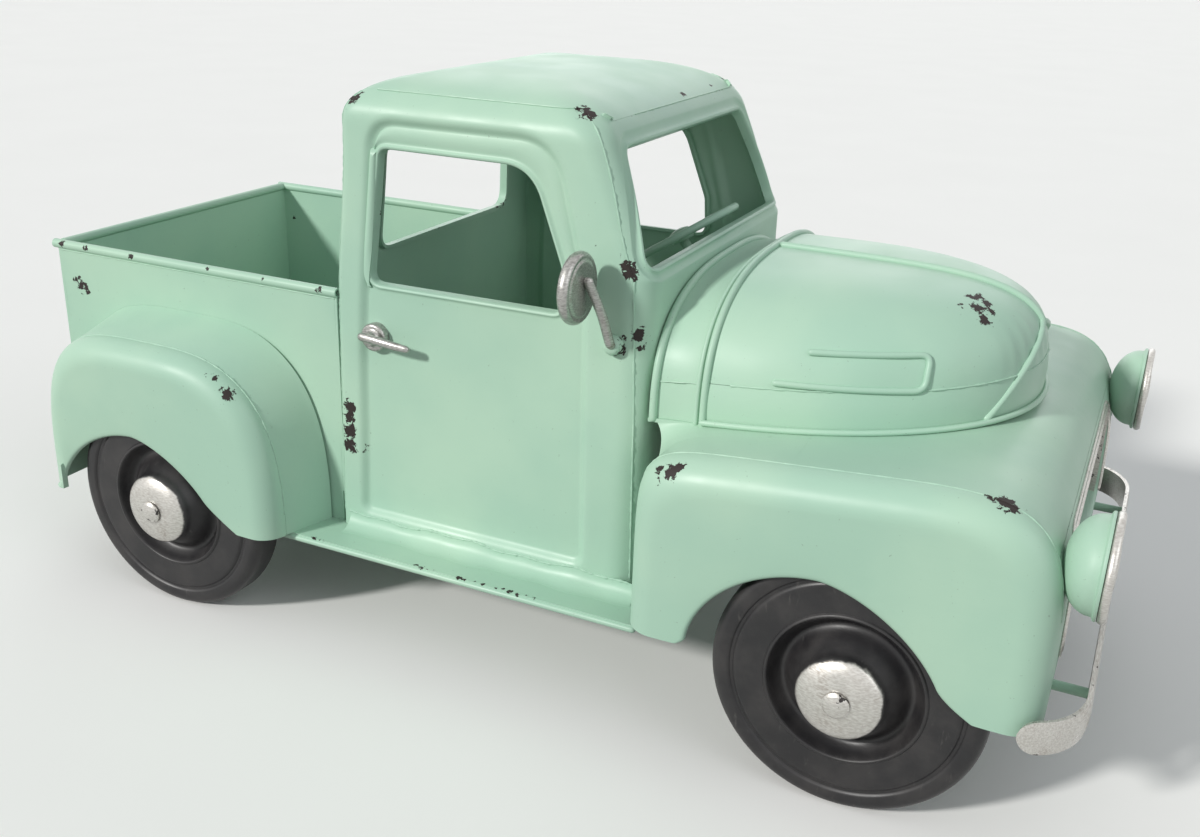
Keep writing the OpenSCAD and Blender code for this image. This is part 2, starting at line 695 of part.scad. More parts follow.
// Round bowl with a turned-out flange
module headlight_bowl() {
    bowl_r = lamp_r - 1.4;
    curve = [for (a = [0:10:80]) [bowl_r * sin(a), lamp_depth - 2 - (lamp_depth - 2) * cos(a)]];
    inside = [for (a = [80:-10:0]) [(bowl_r - 1) * sin(a), lamp_depth - 2 - (lamp_depth - 3) * cos(a)]];
    rotate_extrude() polygon(concat(curve,
        [[bowl_r, lamp_depth - 2], [lamp_r - 0.3, lamp_depth - 1.6], [lamp_r - 0.3, lamp_depth - 0.6],
         [bowl_r - 1, lamp_depth - 0.6]], inside));
}

// Bright rim with a shallow domed front
module headlight_face() {
    rotate_extrude() polygon([[0, lamp_depth - 0.6], [lamp_r - 0.5, lamp_depth - 0.6], [lamp_r, lamp_depth],
        [lamp_r, lamp_depth + 1], [lamp_r - 1, lamp_depth + 2], [lamp_r - 2.6, lamp_depth + 1.4],
        [lamp_r - 6, lamp_depth + 2], [lamp_r - 11, lamp_depth + 2.5], [0, lamp_depth + 2.7]]);
}

module headlight_bowl_right() color(mint) placed() at_lamp(-1) headlight_bowl();
module headlight_bowl_left() color(mint) placed() at_lamp(1) headlight_bowl();
module headlight_face_right() color(silver_paint) placed() at_lamp(-1) headlight_face();
module headlight_face_left() color(silver_paint) placed() at_lamp(1) headlight_face();

// ---- Mirrors and handles ----

mirror_x = cab_front_x - 19;
mirror_y = cab_y + 11;
mirror_z = 150;
mirror_t = 4.4;
arm_foot_z = 129;
arm_foot = [cab_front_x - 11.5, cab_tumble * (arm_foot_z - board_z) - cab_y - 0.05, arm_foot_z];

// Round head that looks back along the truck
module mirror_head() {
    translate([mirror_x - mirror_t / 2, -mirror_y, mirror_z]) rotate([0, 90, 0]) rotate_extrude()
        polygon([[0, 0], [mirror_r - 2.2, 0], [mirror_r - 0.6, 0.7], [mirror_r, 2.2], [mirror_r - 0.6, 3.7],
                 [mirror_r - 2.2, mirror_t], [0, mirror_t]]);
}

// Rod from a boss on the pillar up to the back of the head
module mirror_arm() {
    top = [mirror_x + mirror_t / 2 + 1.3, -mirror_y + 1, mirror_z + 2];
    foot = arm_foot + [0, -2.6, 0];
    rod = top - foot;
    translate(arm_foot) rotate([90, 0, 0]) cylinder(r = 3.4, h = 3.4);
    translate(foot) rotate([0, acos(rod[2] / norm(rod)), atan2(rod[1], rod[0])]) cylinder(d = 2.4, h = norm(rod));
}

module mirror_head_right() color(silver_paint) placed() mirror_head();
module mirror_head_left() color(silver_paint) placed() left_of() mirror_head();
module mirror_arm_right() color(mint) placed() mirror_arm();
module mirror_arm_left() color(mint) placed() left_of() mirror_arm();

handle_x = cab_back_x + 17.5;
handle_z = 118;
handle_y = cab_y - cab_tumble * (handle_z - board_z);

// Round rose with a short lever that points forward
module door_handle() {
    translate([handle_x, -handle_y - 0.13, handle_z]) rotate([90, 0, 0]) {
        cylinder(r = 5, h = 1.8);
        cylinder(r = 2, h = 4.6);
        translate([-3.5, 0, 4.6]) rotate([0, 90, 0]) cylinder(r = 1.6, h = 18.5);
    }
}

module door_handle_right() color(silver_paint) placed() door_handle();
module door_handle_left() color(silver_paint) placed() left_of() door_handle();

// ---- Steering ----

steer_x = cab_front_x - 29;
steer_y = 30;
steer_z = beltline_z - 7.9;
ring_r = 1.5;
column_l = 42;
column_fit = 0.06;
socket_l = 9;

// Frame of the column: its Z runs up the column, through the middle of the wheel
module at_column() {
    translate([steer_x, steer_y, steer_z]) rotate([0, -column_lean, 0]) children();
}

module steering_wheel() color(mint) placed() at_column() {
    rotate_extrude() translate([steer_r - ring_r, 0]) circle(r = ring_r, $fn = 24);
    difference() {
        translate([0, 0, -2]) cylinder(r = 4, h = 4);
        translate([0, 0, -3]) cylinder(r = column_d / 2 + 0.05, h = 4);
    }
    for (a = [90, 210, 330]) rotate([0, 90, a]) translate([0, 0, 3.8])
        cylinder(r = 1.2, h = steer_r - ring_r - 3.8, $fn = 24);
}

module steering_column() color(mint) placed() at_column()
    translate([0, 0, -column_l]) cylinder(d = column_d, h = column_l + 1);

// Block on the firewall with the socket that the column turns in
module column_bracket() color(mint) placed() difference() {
    foot_x = steer_x + column_l * sin(column_lean);
    foot_z = steer_z - column_l * cos(column_lean);
    inner_x = cab_front_x - sheet_t;
    translate([foot_x - 9, steer_y - 6, foot_z - 8]) cube([inner_x - foot_x + 9, 12, 8 + socket_l * 0.7]);
    at_column() translate([0, 0, -column_l - 0.5]) cylinder(r = column_d / 2 + column_fit, h = column_l);
}

bed_floor();
bed_side_right();
bed_side_left();
bed_front_panel();
tailgate();
rear_fender_right();
rear_fender_left();
rear_arch_right();
rear_arch_left();
floor_pan();
running_board_right();
running_board_left();
cab_side_right();
cab_side_left();
cab_back_panel();
cab_front_panel();
cab_roof();
cowl();
hood_top();
hood_skirt();
hood_centre_bead();
nose_panel();
front_fender_right();
front_fender_left();
grille_panel();
grille_bars();
grille_trim();
frame_rail_right();
frame_rail_left();
front_axle_bracket();
rear_axle_bracket();
front_axle();
rear_axle();
wheel_face_front_right();
wheel_back_front_right();
hub_bush_front_right();
wheel_face_front_left();
wheel_back_front_left();
hub_bush_front_left();
wheel_face_rear_right();
wheel_back_rear_right();
hub_bush_rear_right();
wheel_face_rear_left();
wheel_back_rear_left();
hub_bush_rear_left();
bumper();
bumper_brackets();
headlight_bowl_right();
headlight_bowl_left();
headlight_face_right();
headlight_face_left();
mirror_head_right();
mirror_head_left();
mirror_arm_right();
mirror_arm_left();
door_handle_right();
door_handle_left();
steering_wheel();
steering_column();
column_bracket();
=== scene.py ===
"""Push along truck: pressed sheet skins, rods and wheels, painted and worn, built around its solid parts."""
import json
import math
import bpy
import bmesh
import numpy as np
from mathutils import Matrix, Vector


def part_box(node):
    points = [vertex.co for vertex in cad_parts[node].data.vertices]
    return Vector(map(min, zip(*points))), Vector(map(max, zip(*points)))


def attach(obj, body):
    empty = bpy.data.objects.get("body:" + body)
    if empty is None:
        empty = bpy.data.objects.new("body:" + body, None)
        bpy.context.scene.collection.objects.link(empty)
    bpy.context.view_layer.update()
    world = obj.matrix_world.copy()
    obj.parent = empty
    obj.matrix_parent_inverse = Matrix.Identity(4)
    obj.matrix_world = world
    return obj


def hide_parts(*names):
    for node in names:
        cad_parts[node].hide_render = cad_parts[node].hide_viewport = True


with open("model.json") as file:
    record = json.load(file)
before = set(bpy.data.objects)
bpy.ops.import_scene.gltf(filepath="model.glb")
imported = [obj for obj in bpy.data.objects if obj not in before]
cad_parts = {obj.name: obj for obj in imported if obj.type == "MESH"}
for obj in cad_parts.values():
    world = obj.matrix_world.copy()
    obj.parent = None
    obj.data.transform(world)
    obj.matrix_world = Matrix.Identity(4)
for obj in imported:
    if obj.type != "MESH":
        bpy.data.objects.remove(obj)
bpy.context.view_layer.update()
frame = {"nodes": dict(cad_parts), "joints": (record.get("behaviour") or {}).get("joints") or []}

# Sizes in millimetres, with X measured forward from the rear axle, as the CAD's own values are.
JOINT_AT = {j["name"]: 1000 * np.array(j["pos_m"]) for j in frame["joints"]}
AXLE_X = JOINT_AT["wheel_rear_right_spin"][0]
WHEELBASE = JOINT_AT["wheel_front_right_spin"][0] - AXLE_X
WHEEL_Y = abs(JOINT_AT["wheel_rear_right_spin"][1])
WHEEL_R = JOINT_AT["wheel_rear_right_spin"][2]
SHEET = 1.2
FAR = 99.0  # stands for no cut edge near


def corner(node, which):
    """Lowest (0) or highest (1) corner of a CAD node, in millimetres from the rear axle."""
    return 1000 * np.array(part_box(node)[which]) - (AXLE_X, 0, 0)


BED_BACK = corner("bed_front_panel", 1)[0] - 134.3
BED_FRONT = corner("bed_front_panel", 1)[0]
BED_Y = -corner("bed_front_panel", 0)[1]
BED_FLOOR = corner("bed_floor", 1)[2]
RIM_Z = corner("bed_side_right", 1)[2]
BOARD_Z = corner("floor_pan", 1)[2]
BOARD_Y = 88.0
CAB_Y = corner("floor_pan", 1)[1]
CAB_BACK = corner("cab_back_panel", 0)[0]
CAB_FRONT = corner("cab_front_panel", 1)[0]
ROOF_Z = corner("cab_roof", 1)[2]
HOOD_BACK = corner("hood_top", 0)[0]
HOOD_NOSE = corner("hood_skirt", 1)[0]
HOOD_Z = corner("hood_top", 1)[2]
HOOD_Y = 66.5
FACE_X = corner("front_fender_right", 1)[0]
FACE_Y = -corner("front_fender_right", 0)[1]
FENDER_BACK = corner("front_fender_right", 0)[0] + 2.6
FENDER_FOOT = 45.0
BUMPER_X = corner("bumper", 1)[0]
RAISED = 150.5


# ---- Mesh building ----

def placed(p):
    """Millimetres from the rear axle to metres in the row frame."""
    return (np.asarray(p, float) + (AXLE_X, 0, 0)) / 1000


def mix(a, b, k):
    return a + (b - a) * k


def xyz(x, y, z):
    """Points from their coordinates, each a number or an array."""
    return np.stack(np.broadcast_arrays(x, y, z), -1)


def run_along(path):
    """Distance along a path from its start to each of its points."""
    return np.append(0, np.cumsum(np.linalg.norm(np.diff(path, axis=0), axis=1)))


def ramp(v, lo, hi):
    """Smooth step from 0 at lo to 1 at hi."""
    t = np.clip((v - lo) / (hi - lo), 0, 1)
    return t * t * (3 - 2 * t)


def quads(rows, cols, wrap=False, first=0):
    """Corner indices of the cells of a grid, its last column joined to its first where it wraps."""
    r, c = np.meshgrid(np.arange(rows - 1), np.arange(cols if wrap else cols - 1), indexing="ij")
    d = (c + 1) % cols
    return first + np.stack([r * cols + c, r * cols + d, (r + 1) * cols + d, (r + 1) * cols + c], -1).reshape(-1, 4)


def signed_volume(v, f):
    a, b, c, d = (v[f[:, k]] for k in range(4))
    return (np.einsum("ij,ij->i", a, np.cross(b, c)) + np.einsum("ij,ij->i", a, np.cross(c, d))).sum() / 6


def solid(v, f, mat=0, **values):
    """A closed surface with its faces turned outward, a material index and values for its points."""
    if signed_volume(v, f) < 0:
        f = f[:, ::-1]
    return {"v": v, "f": f, "mat": mat, "values": values}


def normals(p, wrap):
    """Unit normals of a grid of points: row step crossed with column step."""
    across = (np.roll(p, -1, 1) - np.roll(p, 1, 1)) / 2 if wrap else np.gradient(p, axis=1)
    n = np.cross(np.gradient(p, axis=0), across)
    return n / np.maximum(np.linalg.norm(n, axis=2, keepdims=True), 1e-9)


def edge_distance(p, wrap, edges):
    """Distance in millimetres from each grid point to the nearest cut edge, which may be the first and last rows (r)
    and the first and last columns (c)."""
    far = np.full(p.shape[:2], FAR)
    for axis, key in ((0, "r"), (1, "c")):
        if key not in edges or (axis == 1 and wrap):
            continue
        step = np.linalg.norm(np.diff(p, axis=axis), axis=2)
        run = np.concatenate([np.zeros_like(step.take([0], axis)), np.cumsum(step, axis)], axis)
        far = np.minimum(far, np.minimum(run, run.take([-1], axis) - run))
    return far


def sheet(p, toward, t=SHEET, wrap=False, edges=""):
    """Sheet of thickness t whose visible face is the grid p: a copy set back along the normals, joined by its rim.
    toward is a point that the back of the sheet lies nearer to, and edges names those that show wear."""
    rows, cols = p.shape[:2]
    n = normals(p, wrap)
    if np.einsum("ijk,ijk->", n, p - np.array(toward, float)) < 0:
        n = -n
    both = np.concatenate([p.reshape(-1, 3), (p - t * n).reshape(-1, 3)])
    k = rows * cols
    cells = quads(rows, cols, wrap)
    idx = np.arange(k).reshape(rows, cols)
    rims = [idx[0, ::-1], idx[-1]]
    if wrap:
        rims = [np.append(e, e[0]) for e in rims]
    else:
        rims += [idx[:, 0], idx[::-1, -1]]
    rim = np.concatenate([np.stack([e[:-1], e[1:], e[1:] + k, e[:-1] + k], -1) for e in rims])
    near = edge_distance(p, wrap, edges).ravel()
    return solid(both, np.concatenate([cells, cells[:, ::-1] + k, rim]), rim=np.concatenate([near, near]))


def frames(path):
    """Tangents of a path with two directions square to each, carried without twist for gentle paths."""
    tangent = np.gradient(path, axis=0)
    tangent /= np.linalg.norm(tangent, axis=1, keepdims=True)
    side = np.cross(tangent, np.eye(3)[int(np.argmin(np.abs(tangent).max(0)))])
    side /= np.linalg.norm(side, axis=1, keepdims=True)
    return tangent, side, np.cross(side, tangent)


def rod(path, radius, sides=14, flat=1.0, rim=FAR):
    """Round rod along a path with domed ends: a circle of the given radius square to the path at each point."""
    path = np.asarray(path, float)
    radius = np.broadcast_to(radius, len(path)).astype(float)
    tangent, side, up = frames(path)
    dome = np.radians([90, 60, 30])
    start = [path[0] - tangent[0] * radius[0] * math.sin(a) for a in dome]
    end = [path[-1] + tangent[-1] * radius[-1] * math.sin(a) for a in dome[::-1]]
    ends = np.cos(dome)
    centre = np.concatenate([start, path, end])
    size = np.concatenate([radius[0] * ends, radius, radius[-1] * ends[::-1]])
    side = np.concatenate([side[:1]] * 3 + [side] + [side[-1:]] * 3)
    up = np.concatenate([up[:1]] * 3 + [up] + [up[-1:]] * 3)
    turn = np.linspace(0, 2 * np.pi, sides, endpoint=False)
    p = centre[:, None] + size[:, None, None] * (
        np.cos(turn)[None, :, None] * side[:, None] + flat * np.sin(turn)[None, :, None] * up[:, None])
    v = p.reshape(-1, 3)
    return solid(v, quads(len(centre), sides, True), rim=np.full(len(v), rim))


def pipe(path, outer, inner, sides=20):
    """Tube with open ends: an outer and an inner circle carried along a path and joined at both ends."""
    path = np.asarray(path, float)
    _, side, up = frames(path)
    turn = np.linspace(0, 2 * np.pi, sides, endpoint=False)
    ring = np.cos(turn)[None, :, None] * side[:, None] + np.sin(turn)[None, :, None] * up[:, None]
    walls = np.concatenate([path[:, None] + outer * ring, (path[:, None] + inner * ring)[::-1]])
    walls = np.concatenate([walls, walls[:1]])
    v = walls.reshape(-1, 3)
    near = edge_distance(walls[:len(path)], True, "r")
    return solid(v, quads(len(walls), sides, True), rim=np.concatenate([near, near[::-1], near[:1]]).ravel())


def lathe(profile, at, axis, sides, **values):
    """Profile of (radius, distance along the axis) turned round an axis through a point."""
    profile = np.asarray(profile, float)
    axis = np.array(axis, float) / np.linalg.norm(axis)
    u = np.cross(axis, (0, 0, 1) if abs(axis[2]) < 0.9 else (1, 0, 0))
    u /= np.linalg.norm(u)
    w = np.cross(axis, u)
    turn = np.linspace(0, 2 * np.pi, sides, endpoint=False)
    ring = np.cos(turn)[:, None] * u + np.sin(turn)[:, None] * w
    p = np.array(at, float) + profile[:, None, :1] * ring[None] + profile[:, None, 1:] * axis
    v = p.reshape(-1, 3)
    values = {k: np.repeat(x, sides) for k, x in values.items()}
    values.setdefault("rim", np.full(len(v), FAR))
    return solid(v, quads(len(profile), sides, True), **values)


def softened(points, reach, steps=5):
    """Open path whose corners are replaced by short parabolas that start reach away from each corner."""
    points = np.asarray(points, float)
    out = [points[:1]]
    k = np.linspace(0, 1, steps)[:, None]
    for a, p, b in zip(points[:-2], points[1:-1], points[2:]):
        la, lb = np.linalg.norm(a - p), np.linalg.norm(b - p)
        r = min(reach, 0.48 * la, 0.48 * lb)
        s, e = p + (a - p) * r / la, p + (b - p) * r / lb
        out.append((1 - k) ** 2 * s + 2 * k * (1 - k) * p + k ** 2 * e)
    return np.concatenate(out + [points[-1:]])


def spaced(path, count):
    """Path with the given number of points at even distances."""
    path = np.asarray(path, float)
    run = run_along(path)
    at = np.linspace(0, run[-1], count)
    return np.stack([np.interp(at, run, path[:, k]) for k in range(path.shape[1])], -1)


def mirrored(parts):
    """The same solids on the truck's other side."""
    return [solid(s["v"] * (1, -1, 1), s["f"][:, ::-1], s["mat"], **s["values"]) for s in parts]


def store(mesh, key, value):
    """Keep a number for each point of a mesh."""
    mesh.attributes.new(key, "FLOAT", "POINT").data.foreach_set("value", value.astype(np.float32))


def piece(name, parts, materials, body, nodes):
    """One object from closed solids: joined, doubles merged, hard edges marked, with wear stored for its points."""
    v = np.concatenate([s["v"] for s in parts])
    first = np.append(0, np.cumsum([len(s["v"]) for s in parts]))
    f = np.concatenate([s["f"] + first[i] for i, s in enumerate(parts)])
    mesh = bpy.data.meshes.new(name)
    mesh.vertices.add(len(v))
    mesh.vertices.foreach_set("co", placed(v).astype(np.float32).ravel())
    mesh.loops.add(f.size)
    mesh.loops.foreach_set("vertex_index", f.astype(np.int32).ravel())
    mesh.polygons.add(len(f))
    mesh.polygons.foreach_set("loop_start", (4 * np.arange(len(f))).astype(np.int32))
    finish = np.concatenate([np.full(len(s["f"]), s["mat"]) for s in parts])
    mesh.polygons.foreach_set("material_index", finish.astype(np.int32))
    mesh.update(calc_edges=True)
    for key in sorted({k for s in parts for k in s["values"]}):
        store(mesh, key, np.concatenate([s["values"].get(key, np.zeros(len(s["v"]))) for s in parts]))
    chip = np.zeros(len(v))
    for *spot, r in CHIPS:
        chip = np.maximum(chip, np.exp(-((v - spot) ** 2).sum(1) / (0.8 * r) ** 2))
    store(mesh, "chip", chip)
    b = bmesh.new()
    b.from_mesh(mesh)
    bmesh.ops.remove_doubles(b, verts=b.verts, dist=2e-6)
    bmesh.ops.dissolve_degenerate(b, edges=b.edges, dist=1e-6)
    b.to_mesh(mesh)
    b.free()
    mesh.polygons.foreach_set("use_smooth", np.ones(len(mesh.polygons), bool))
    mesh.set_sharp_from_angle(angle=math.radians(42))
    mesh.validate()
    obj = bpy.data.objects.new(name, mesh)
    bpy.context.scene.collection.objects.link(obj)
    for m in materials:
        mesh.materials.append(m)
    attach(obj, body)
    if nodes:
        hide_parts(*nodes)


# ---- Finishes ----

class Nodes:
    """Short way to write a material's nodes."""

    def __init__(self, name):
        self.mat = bpy.data.materials.new(name)
        self.mat.use_nodes = True
        self.tree = self.mat.node_tree
        self.shader = self.tree.nodes["Principled BSDF"]

    def new(self, kind, links=(), **settings):
        node = self.tree.nodes.new(kind)
        for key, value in settings.items():
            setattr(node, key, value)
        for socket, source in dict(links).items():
            self.put(node.inputs[socket], source)
        return node

    def put(self, socket, source):
        if hasattr(source, "links") or hasattr(source, "is_linked"):
            self.tree.links.new(source, socket)
        else:
            socket.default_value = source

    def look(self, name, source):
        """Set one input of the material's shader."""
        self.put(self.shader.inputs[name], source)

    def math(self, kind, a, b):
        return self.new("ShaderNodeMath", {0: a, 1: b}, operation=kind).outputs[0]

    def plus(self, a, b):
        return self.math("ADD", a, b)

    def less(self, a, b):
        return self.math("SUBTRACT", a, b)

    def times(self, a, b):
        return self.math("MULTIPLY", a, b)

    def noise(self, where, scale, detail=3.0, rough=0.5, distort=0.0):
        node = self.new("ShaderNodeTexNoise", {"Vector": where, "Scale": scale, "Detail": detail,
                                               "Roughness": rough, "Distortion": distort})
        return node.outputs["Fac"]

    def step(self, value, lo, hi, out_lo=0.0, out_hi=1.0):
        """Value eased from out_lo at lo to out_hi at hi."""
        node = self.new("ShaderNodeMapRange", {"Value": value, "From Min": lo, "From Max": hi,
                                               "To Min": out_lo, "To Max": out_hi}, interpolation_type="SMOOTHSTEP")
        return node.outputs["Result"]

    def blend(self, k, a, b):
        node = self.new("ShaderNodeMix", data_type="RGBA")
        for socket, source in ((0, k), (6, a), (7, b)):
            self.put(node.inputs[socket], source)
        return node.outputs[2]

    def value(self, name):
        return self.new("ShaderNodeAttribute", attribute_name=name).outputs["Fac"]

    def where(self, stretch=(1, 1, 1)):
        at = self.new("ShaderNodeTexCoord").outputs["Object"]
        if stretch == (1, 1, 1):
            return at
        return self.new("ShaderNodeMapping", {"Vector": at, "Scale": stretch}).outputs["Vector"]

    def bump(self, height, distance, strength):
        """Let a height roughen the surface by a distance in metres."""
        links = {"Height": height, "Distance": distance, "Strength": strength}
        self.look("Normal", self.new("ShaderNodeBump", links).outputs["Normal"])


def srgb(r, g, b, shade=1.0):
    """Screen colour of 0 to 255 as linear light, darkened to a share of it, with full alpha."""
    c = np.array([r, g, b]) / 255
    return (*(np.where(c <= 0.04045, c / 12.92, ((c + 0.055) / 1.055) ** 2.4) * shade), 1.0)


def mint_paint(name, has_wear=True, shade=1.0):
    """Pastel green satin enamel over dark primer: faint brushed-on unevenness, small specks, and ragged chips
    that show the primer at knocks and along cut edges."""
    n = Nodes(name)
    at = n.where()
    cloud = n.noise(at, 14, 4)
    fine = n.noise(at, 260, 3)
    # A shade below 1 darkens both greens evenly: painted shade for the parts underneath and inside.
    colour = n.blend(n.step(cloud, 0.35, 0.65), srgb(178, 210, 188, shade), srgb(167, 202, 182, shade))
    ragged = n.noise(at, 520, 5, 0.66, 0.4)
    blot = n.noise(at, 120, 3, 0.55)
    if has_wear:
        rim = n.step(n.value("rim"), 0.0, 2.2, 1.0, 0.0)
        patch = n.step(n.noise(at, 34, 3), 0.5, 0.66)
        edge = n.times(n.times(rim, patch), 0.5)
        spots = n.math("MAXIMUM", n.value("chip"), edge)
        level = n.plus(spots, n.times(n.less(ragged, 0.5), 1.9))
        level = n.plus(level, n.times(n.less(blot, 0.5), 0.9))
        gone = n.step(level, 0.585, 0.605)
    else:
        gone = n.step(n.plus(ragged, n.times(blot, 0.5)), 0.985, 1.0)
    speck = n.step(n.noise(at, 900, 2), 0.745, 0.76)
    colour = n.blend(n.times(speck, 0.35), colour, srgb(96, 110, 98))
    colour = n.blend(gone, colour, srgb(42, 34, 32))
    n.look("Base Color", colour)
    worn = n.step(n.noise(at, 45, 4), 0.35, 0.65, 0.36, 0.46)
    n.look("Roughness", n.plus(worn, n.times(gone, 0.22)))
    stroke = n.noise(n.where((0.35, 1, 2.2)), 210, 3)
    height = n.plus(n.times(stroke, 0.25), n.times(fine, 0.35))
    height = n.less(height, n.times(gone, 1.2))
    n.bump(height, 0.00012, 0.8)
    n.look("Specular IOR Level", 0.34)
    return n.mat


def silver_brush(n, at, streaked, pale=srgb(214, 212, 207), grey=srgb(186, 182, 176)):
    """Colour and roughness of hand-brushed silver paint: streaks, grey-brown undercoat in the lows and specks."""
    streak = n.noise(streaked, 760, 3, 0.5)
    patch = n.noise(at, 75, 5, 0.62)
    colour = n.blend(n.step(streak, 0.25, 0.75), grey, pale)
    under = n.times(n.step(patch, 0.55, 0.75), n.step(streak, 0.7, 0.3))
    colour = n.blend(n.times(under, 0.7), colour, srgb(132, 114, 101))
    rough = n.step(patch, 0.3, 0.7, 0.27, 0.4)
    return colour, rough, streak


def silver_paint(name, stretch, **tones):
    """Silver paint put on by hand over a dark undercoat, with brush streaks along the piece."""
    n = Nodes(name)
    at = n.where()
    colour, rough, streak = silver_brush(n, at, n.where(stretch), **tones)
    chipped = n.plus(n.value("chip"), n.times(n.step(n.value("rim"), 0, 1.6, 1, 0), 0.42))
    ragged = n.noise(at, 420, 5, 0.62, 0.4)
    gone = n.step(n.plus(chipped, n.times(n.less(ragged, 0.5), 1.5)), 0.6, 0.63)
    n.look("Base Color", n.blend(gone, colour, srgb(38, 33, 32)))
    n.look("Roughness", n.plus(rough, n.times(gone, 0.2)))
    n.look("Metallic", n.times(n.less(1.0, gone), 0.82))
    height = n.less(n.times(streak, 0.6), n.times(gone, 1.0))
    n.bump(height, 0.00005, 0.7)
    return n.mat


def wheel_paint(name):
    """Satin black enamel with faint dust, and the dome's middle hand-painted silver to a wobbling edge.
    The value hub holds the distance in millimetres from the wheel's axis on the outer side."""
    n = Nodes(name)
    at = n.where()
    colour, rough, streak = silver_brush(n, at, n.where((1, 1, 3)))
    stray = n.times(n.less(n.noise(at, 95, 4, 0.6), 0.5), 3.2)
    bright = n.step(n.plus(n.value("hub"), stray), 13.6, 12.9)
    dust = n.noise(at, 70, 5, 0.6)
    black = n.blend(n.step(dust, 0.35, 0.75), srgb(29, 28, 30), srgb(52, 50, 50))
    scuff = n.step(n.noise(n.where((2.5, 1, 0.6)), 160, 5, 0.65), 0.62, 0.75)
    black = n.blend(n.times(scuff, 0.5), black, srgb(86, 84, 82))
    n.look("Base Color", n.blend(bright, black, colour))
    n.look("Roughness", n.plus(n.times(bright, n.less(rough, 0.42)),
                               n.step(dust, 0.3, 0.7, 0.38, 0.5)))
    n.look("Metallic", n.times(bright, 0.82))
    height = n.plus(n.times(streak, 0.5), n.times(bright, 0.6))
    n.bump(height, 0.00007, 0.7)
    return n.mat


MINT = mint_paint("pastel_green_enamel")
# Unworn copy of the enamel darkened to 0.93 as painted shade, for the floors, column and brackets underneath and
# inside.
MINT_SHADED_PLAIN = mint_paint("pastel_green_enamel_underside", has_wear=False, shade=0.93)
SILVER = silver_paint("brushed_silver_paint", (1, 1, 4))
SILVER_LONG = silver_paint("brushed_silver_strip", (3, 0.6, 3))
SILVER_WORN = silver_paint("worn_silver_fittings", (1, 1, 4), pale=srgb(190, 189, 185), grey=srgb(142, 141, 138))
BLACK = wheel_paint("black_enamel_wheel")


# ---- Shapes shared with the CAD ----

def hump(a, mid, half, foot, high, front_n, back_n, tilt=0.0):
    """Arch outline by polar angle: a superellipse of half length half and height high on its foot line, with one
    exponent ahead of its middle and one behind, and a top that rises forward by tilt."""
    c, s = np.cos(a), np.sin(a)
    n = np.where(c >= 0, front_n, back_n)
    q = (np.abs(c) ** n + np.abs(s) ** n) ** (-1 / n)
    return np.stack([mid + half * q * c, foot + (high + tilt * q * c) * q * s], -1)


def opening(a, mid, half, foot, high, front_n, back_n, front_flare, back_flare):
    """Wheel opening: a hump whose feet flare outward, by the square of the height left below the flare."""
    p = hump(a, mid, half, foot, high, front_n, back_n)
    flare = np.where(np.cos(a) >= 0, front_flare, back_flare)
    k = np.clip(1 - (p[:, 1] - foot) / np.maximum(flare, 1), 0, None)
    return p + np.stack([np.sign(np.cos(a)) * flare * k * k, 0 * k], -1)


def even_angles(outline, count):
    """Angles from the rear foot to the front foot at even distances along an outline."""
    a = np.linspace(np.pi, 0, 2000)
    run = run_along(outline(a))
    return np.interp(np.linspace(0, run[-1], count), run, a)


FRONT_ROUND, REAR_ROUND = 10.0, 9.0
FRONT_SEAM, REAR_SEAM = FACE_Y - FRONT_ROUND, FACE_Y - REAR_ROUND
FENDER_MID, FENDER_HALF = (FACE_X + FENDER_BACK) / 2, (FACE_X - FENDER_BACK) / 2
FENDER_H, FENDER_TILT = 65.65, 0.078 * FENDER_HALF


def front_outline(a, inset=0.0):
    return hump(a, FENDER_MID, FENDER_HALF - inset, FENDER_FOOT, FENDER_H - inset, 4.6, 9, FENDER_TILT)


def front_opening(a):
    return opening(a, WHEELBASE - 11, 40, FENDER_FOOT, 33, 1.6, 1.85, 8, 2)


def rear_outline(a, inset=0.0):
    return hump(a, -3.5, 55 - inset, BOARD_Z, 65.2 - inset, 2.8, 4)


def rear_inner(a):
    return hump(a, -0.5, 58, BOARD_Z, 72, 2.8, 4)


def rear_opening(a):
    return opening(a, -13, 37.5, BOARD_Z, 28.4, 1.5, 1.8, 10, 3)


def deck_z(x):
    """Height of the deck between the front fenders, a straight line that rises forward."""
    return FENDER_FOOT + FENDER_H + FENDER_TILT * (x - FENDER_MID) / FENDER_HALF


def wobble(s, amount, seed):
    """Hand-made unevenness along a run: three sines of unrelated pitch."""
    return amount * (np.sin(s * 0.9 + seed) + np.sin(s * 2.3 + 2 * seed) + 0.7 * np.sin(s * 5.1 + 3 * seed)) / 2.7


def weld(path, size, seed):
    """Thin uneven bead of weld along a path: a rod whose radius wanders and sometimes nearly vanishes."""
    return rod(path, np.clip(size * (0.75 + wobble(run_along(path), 0.6, seed)), 0.12, None), 8)


# ---- Fenders ----

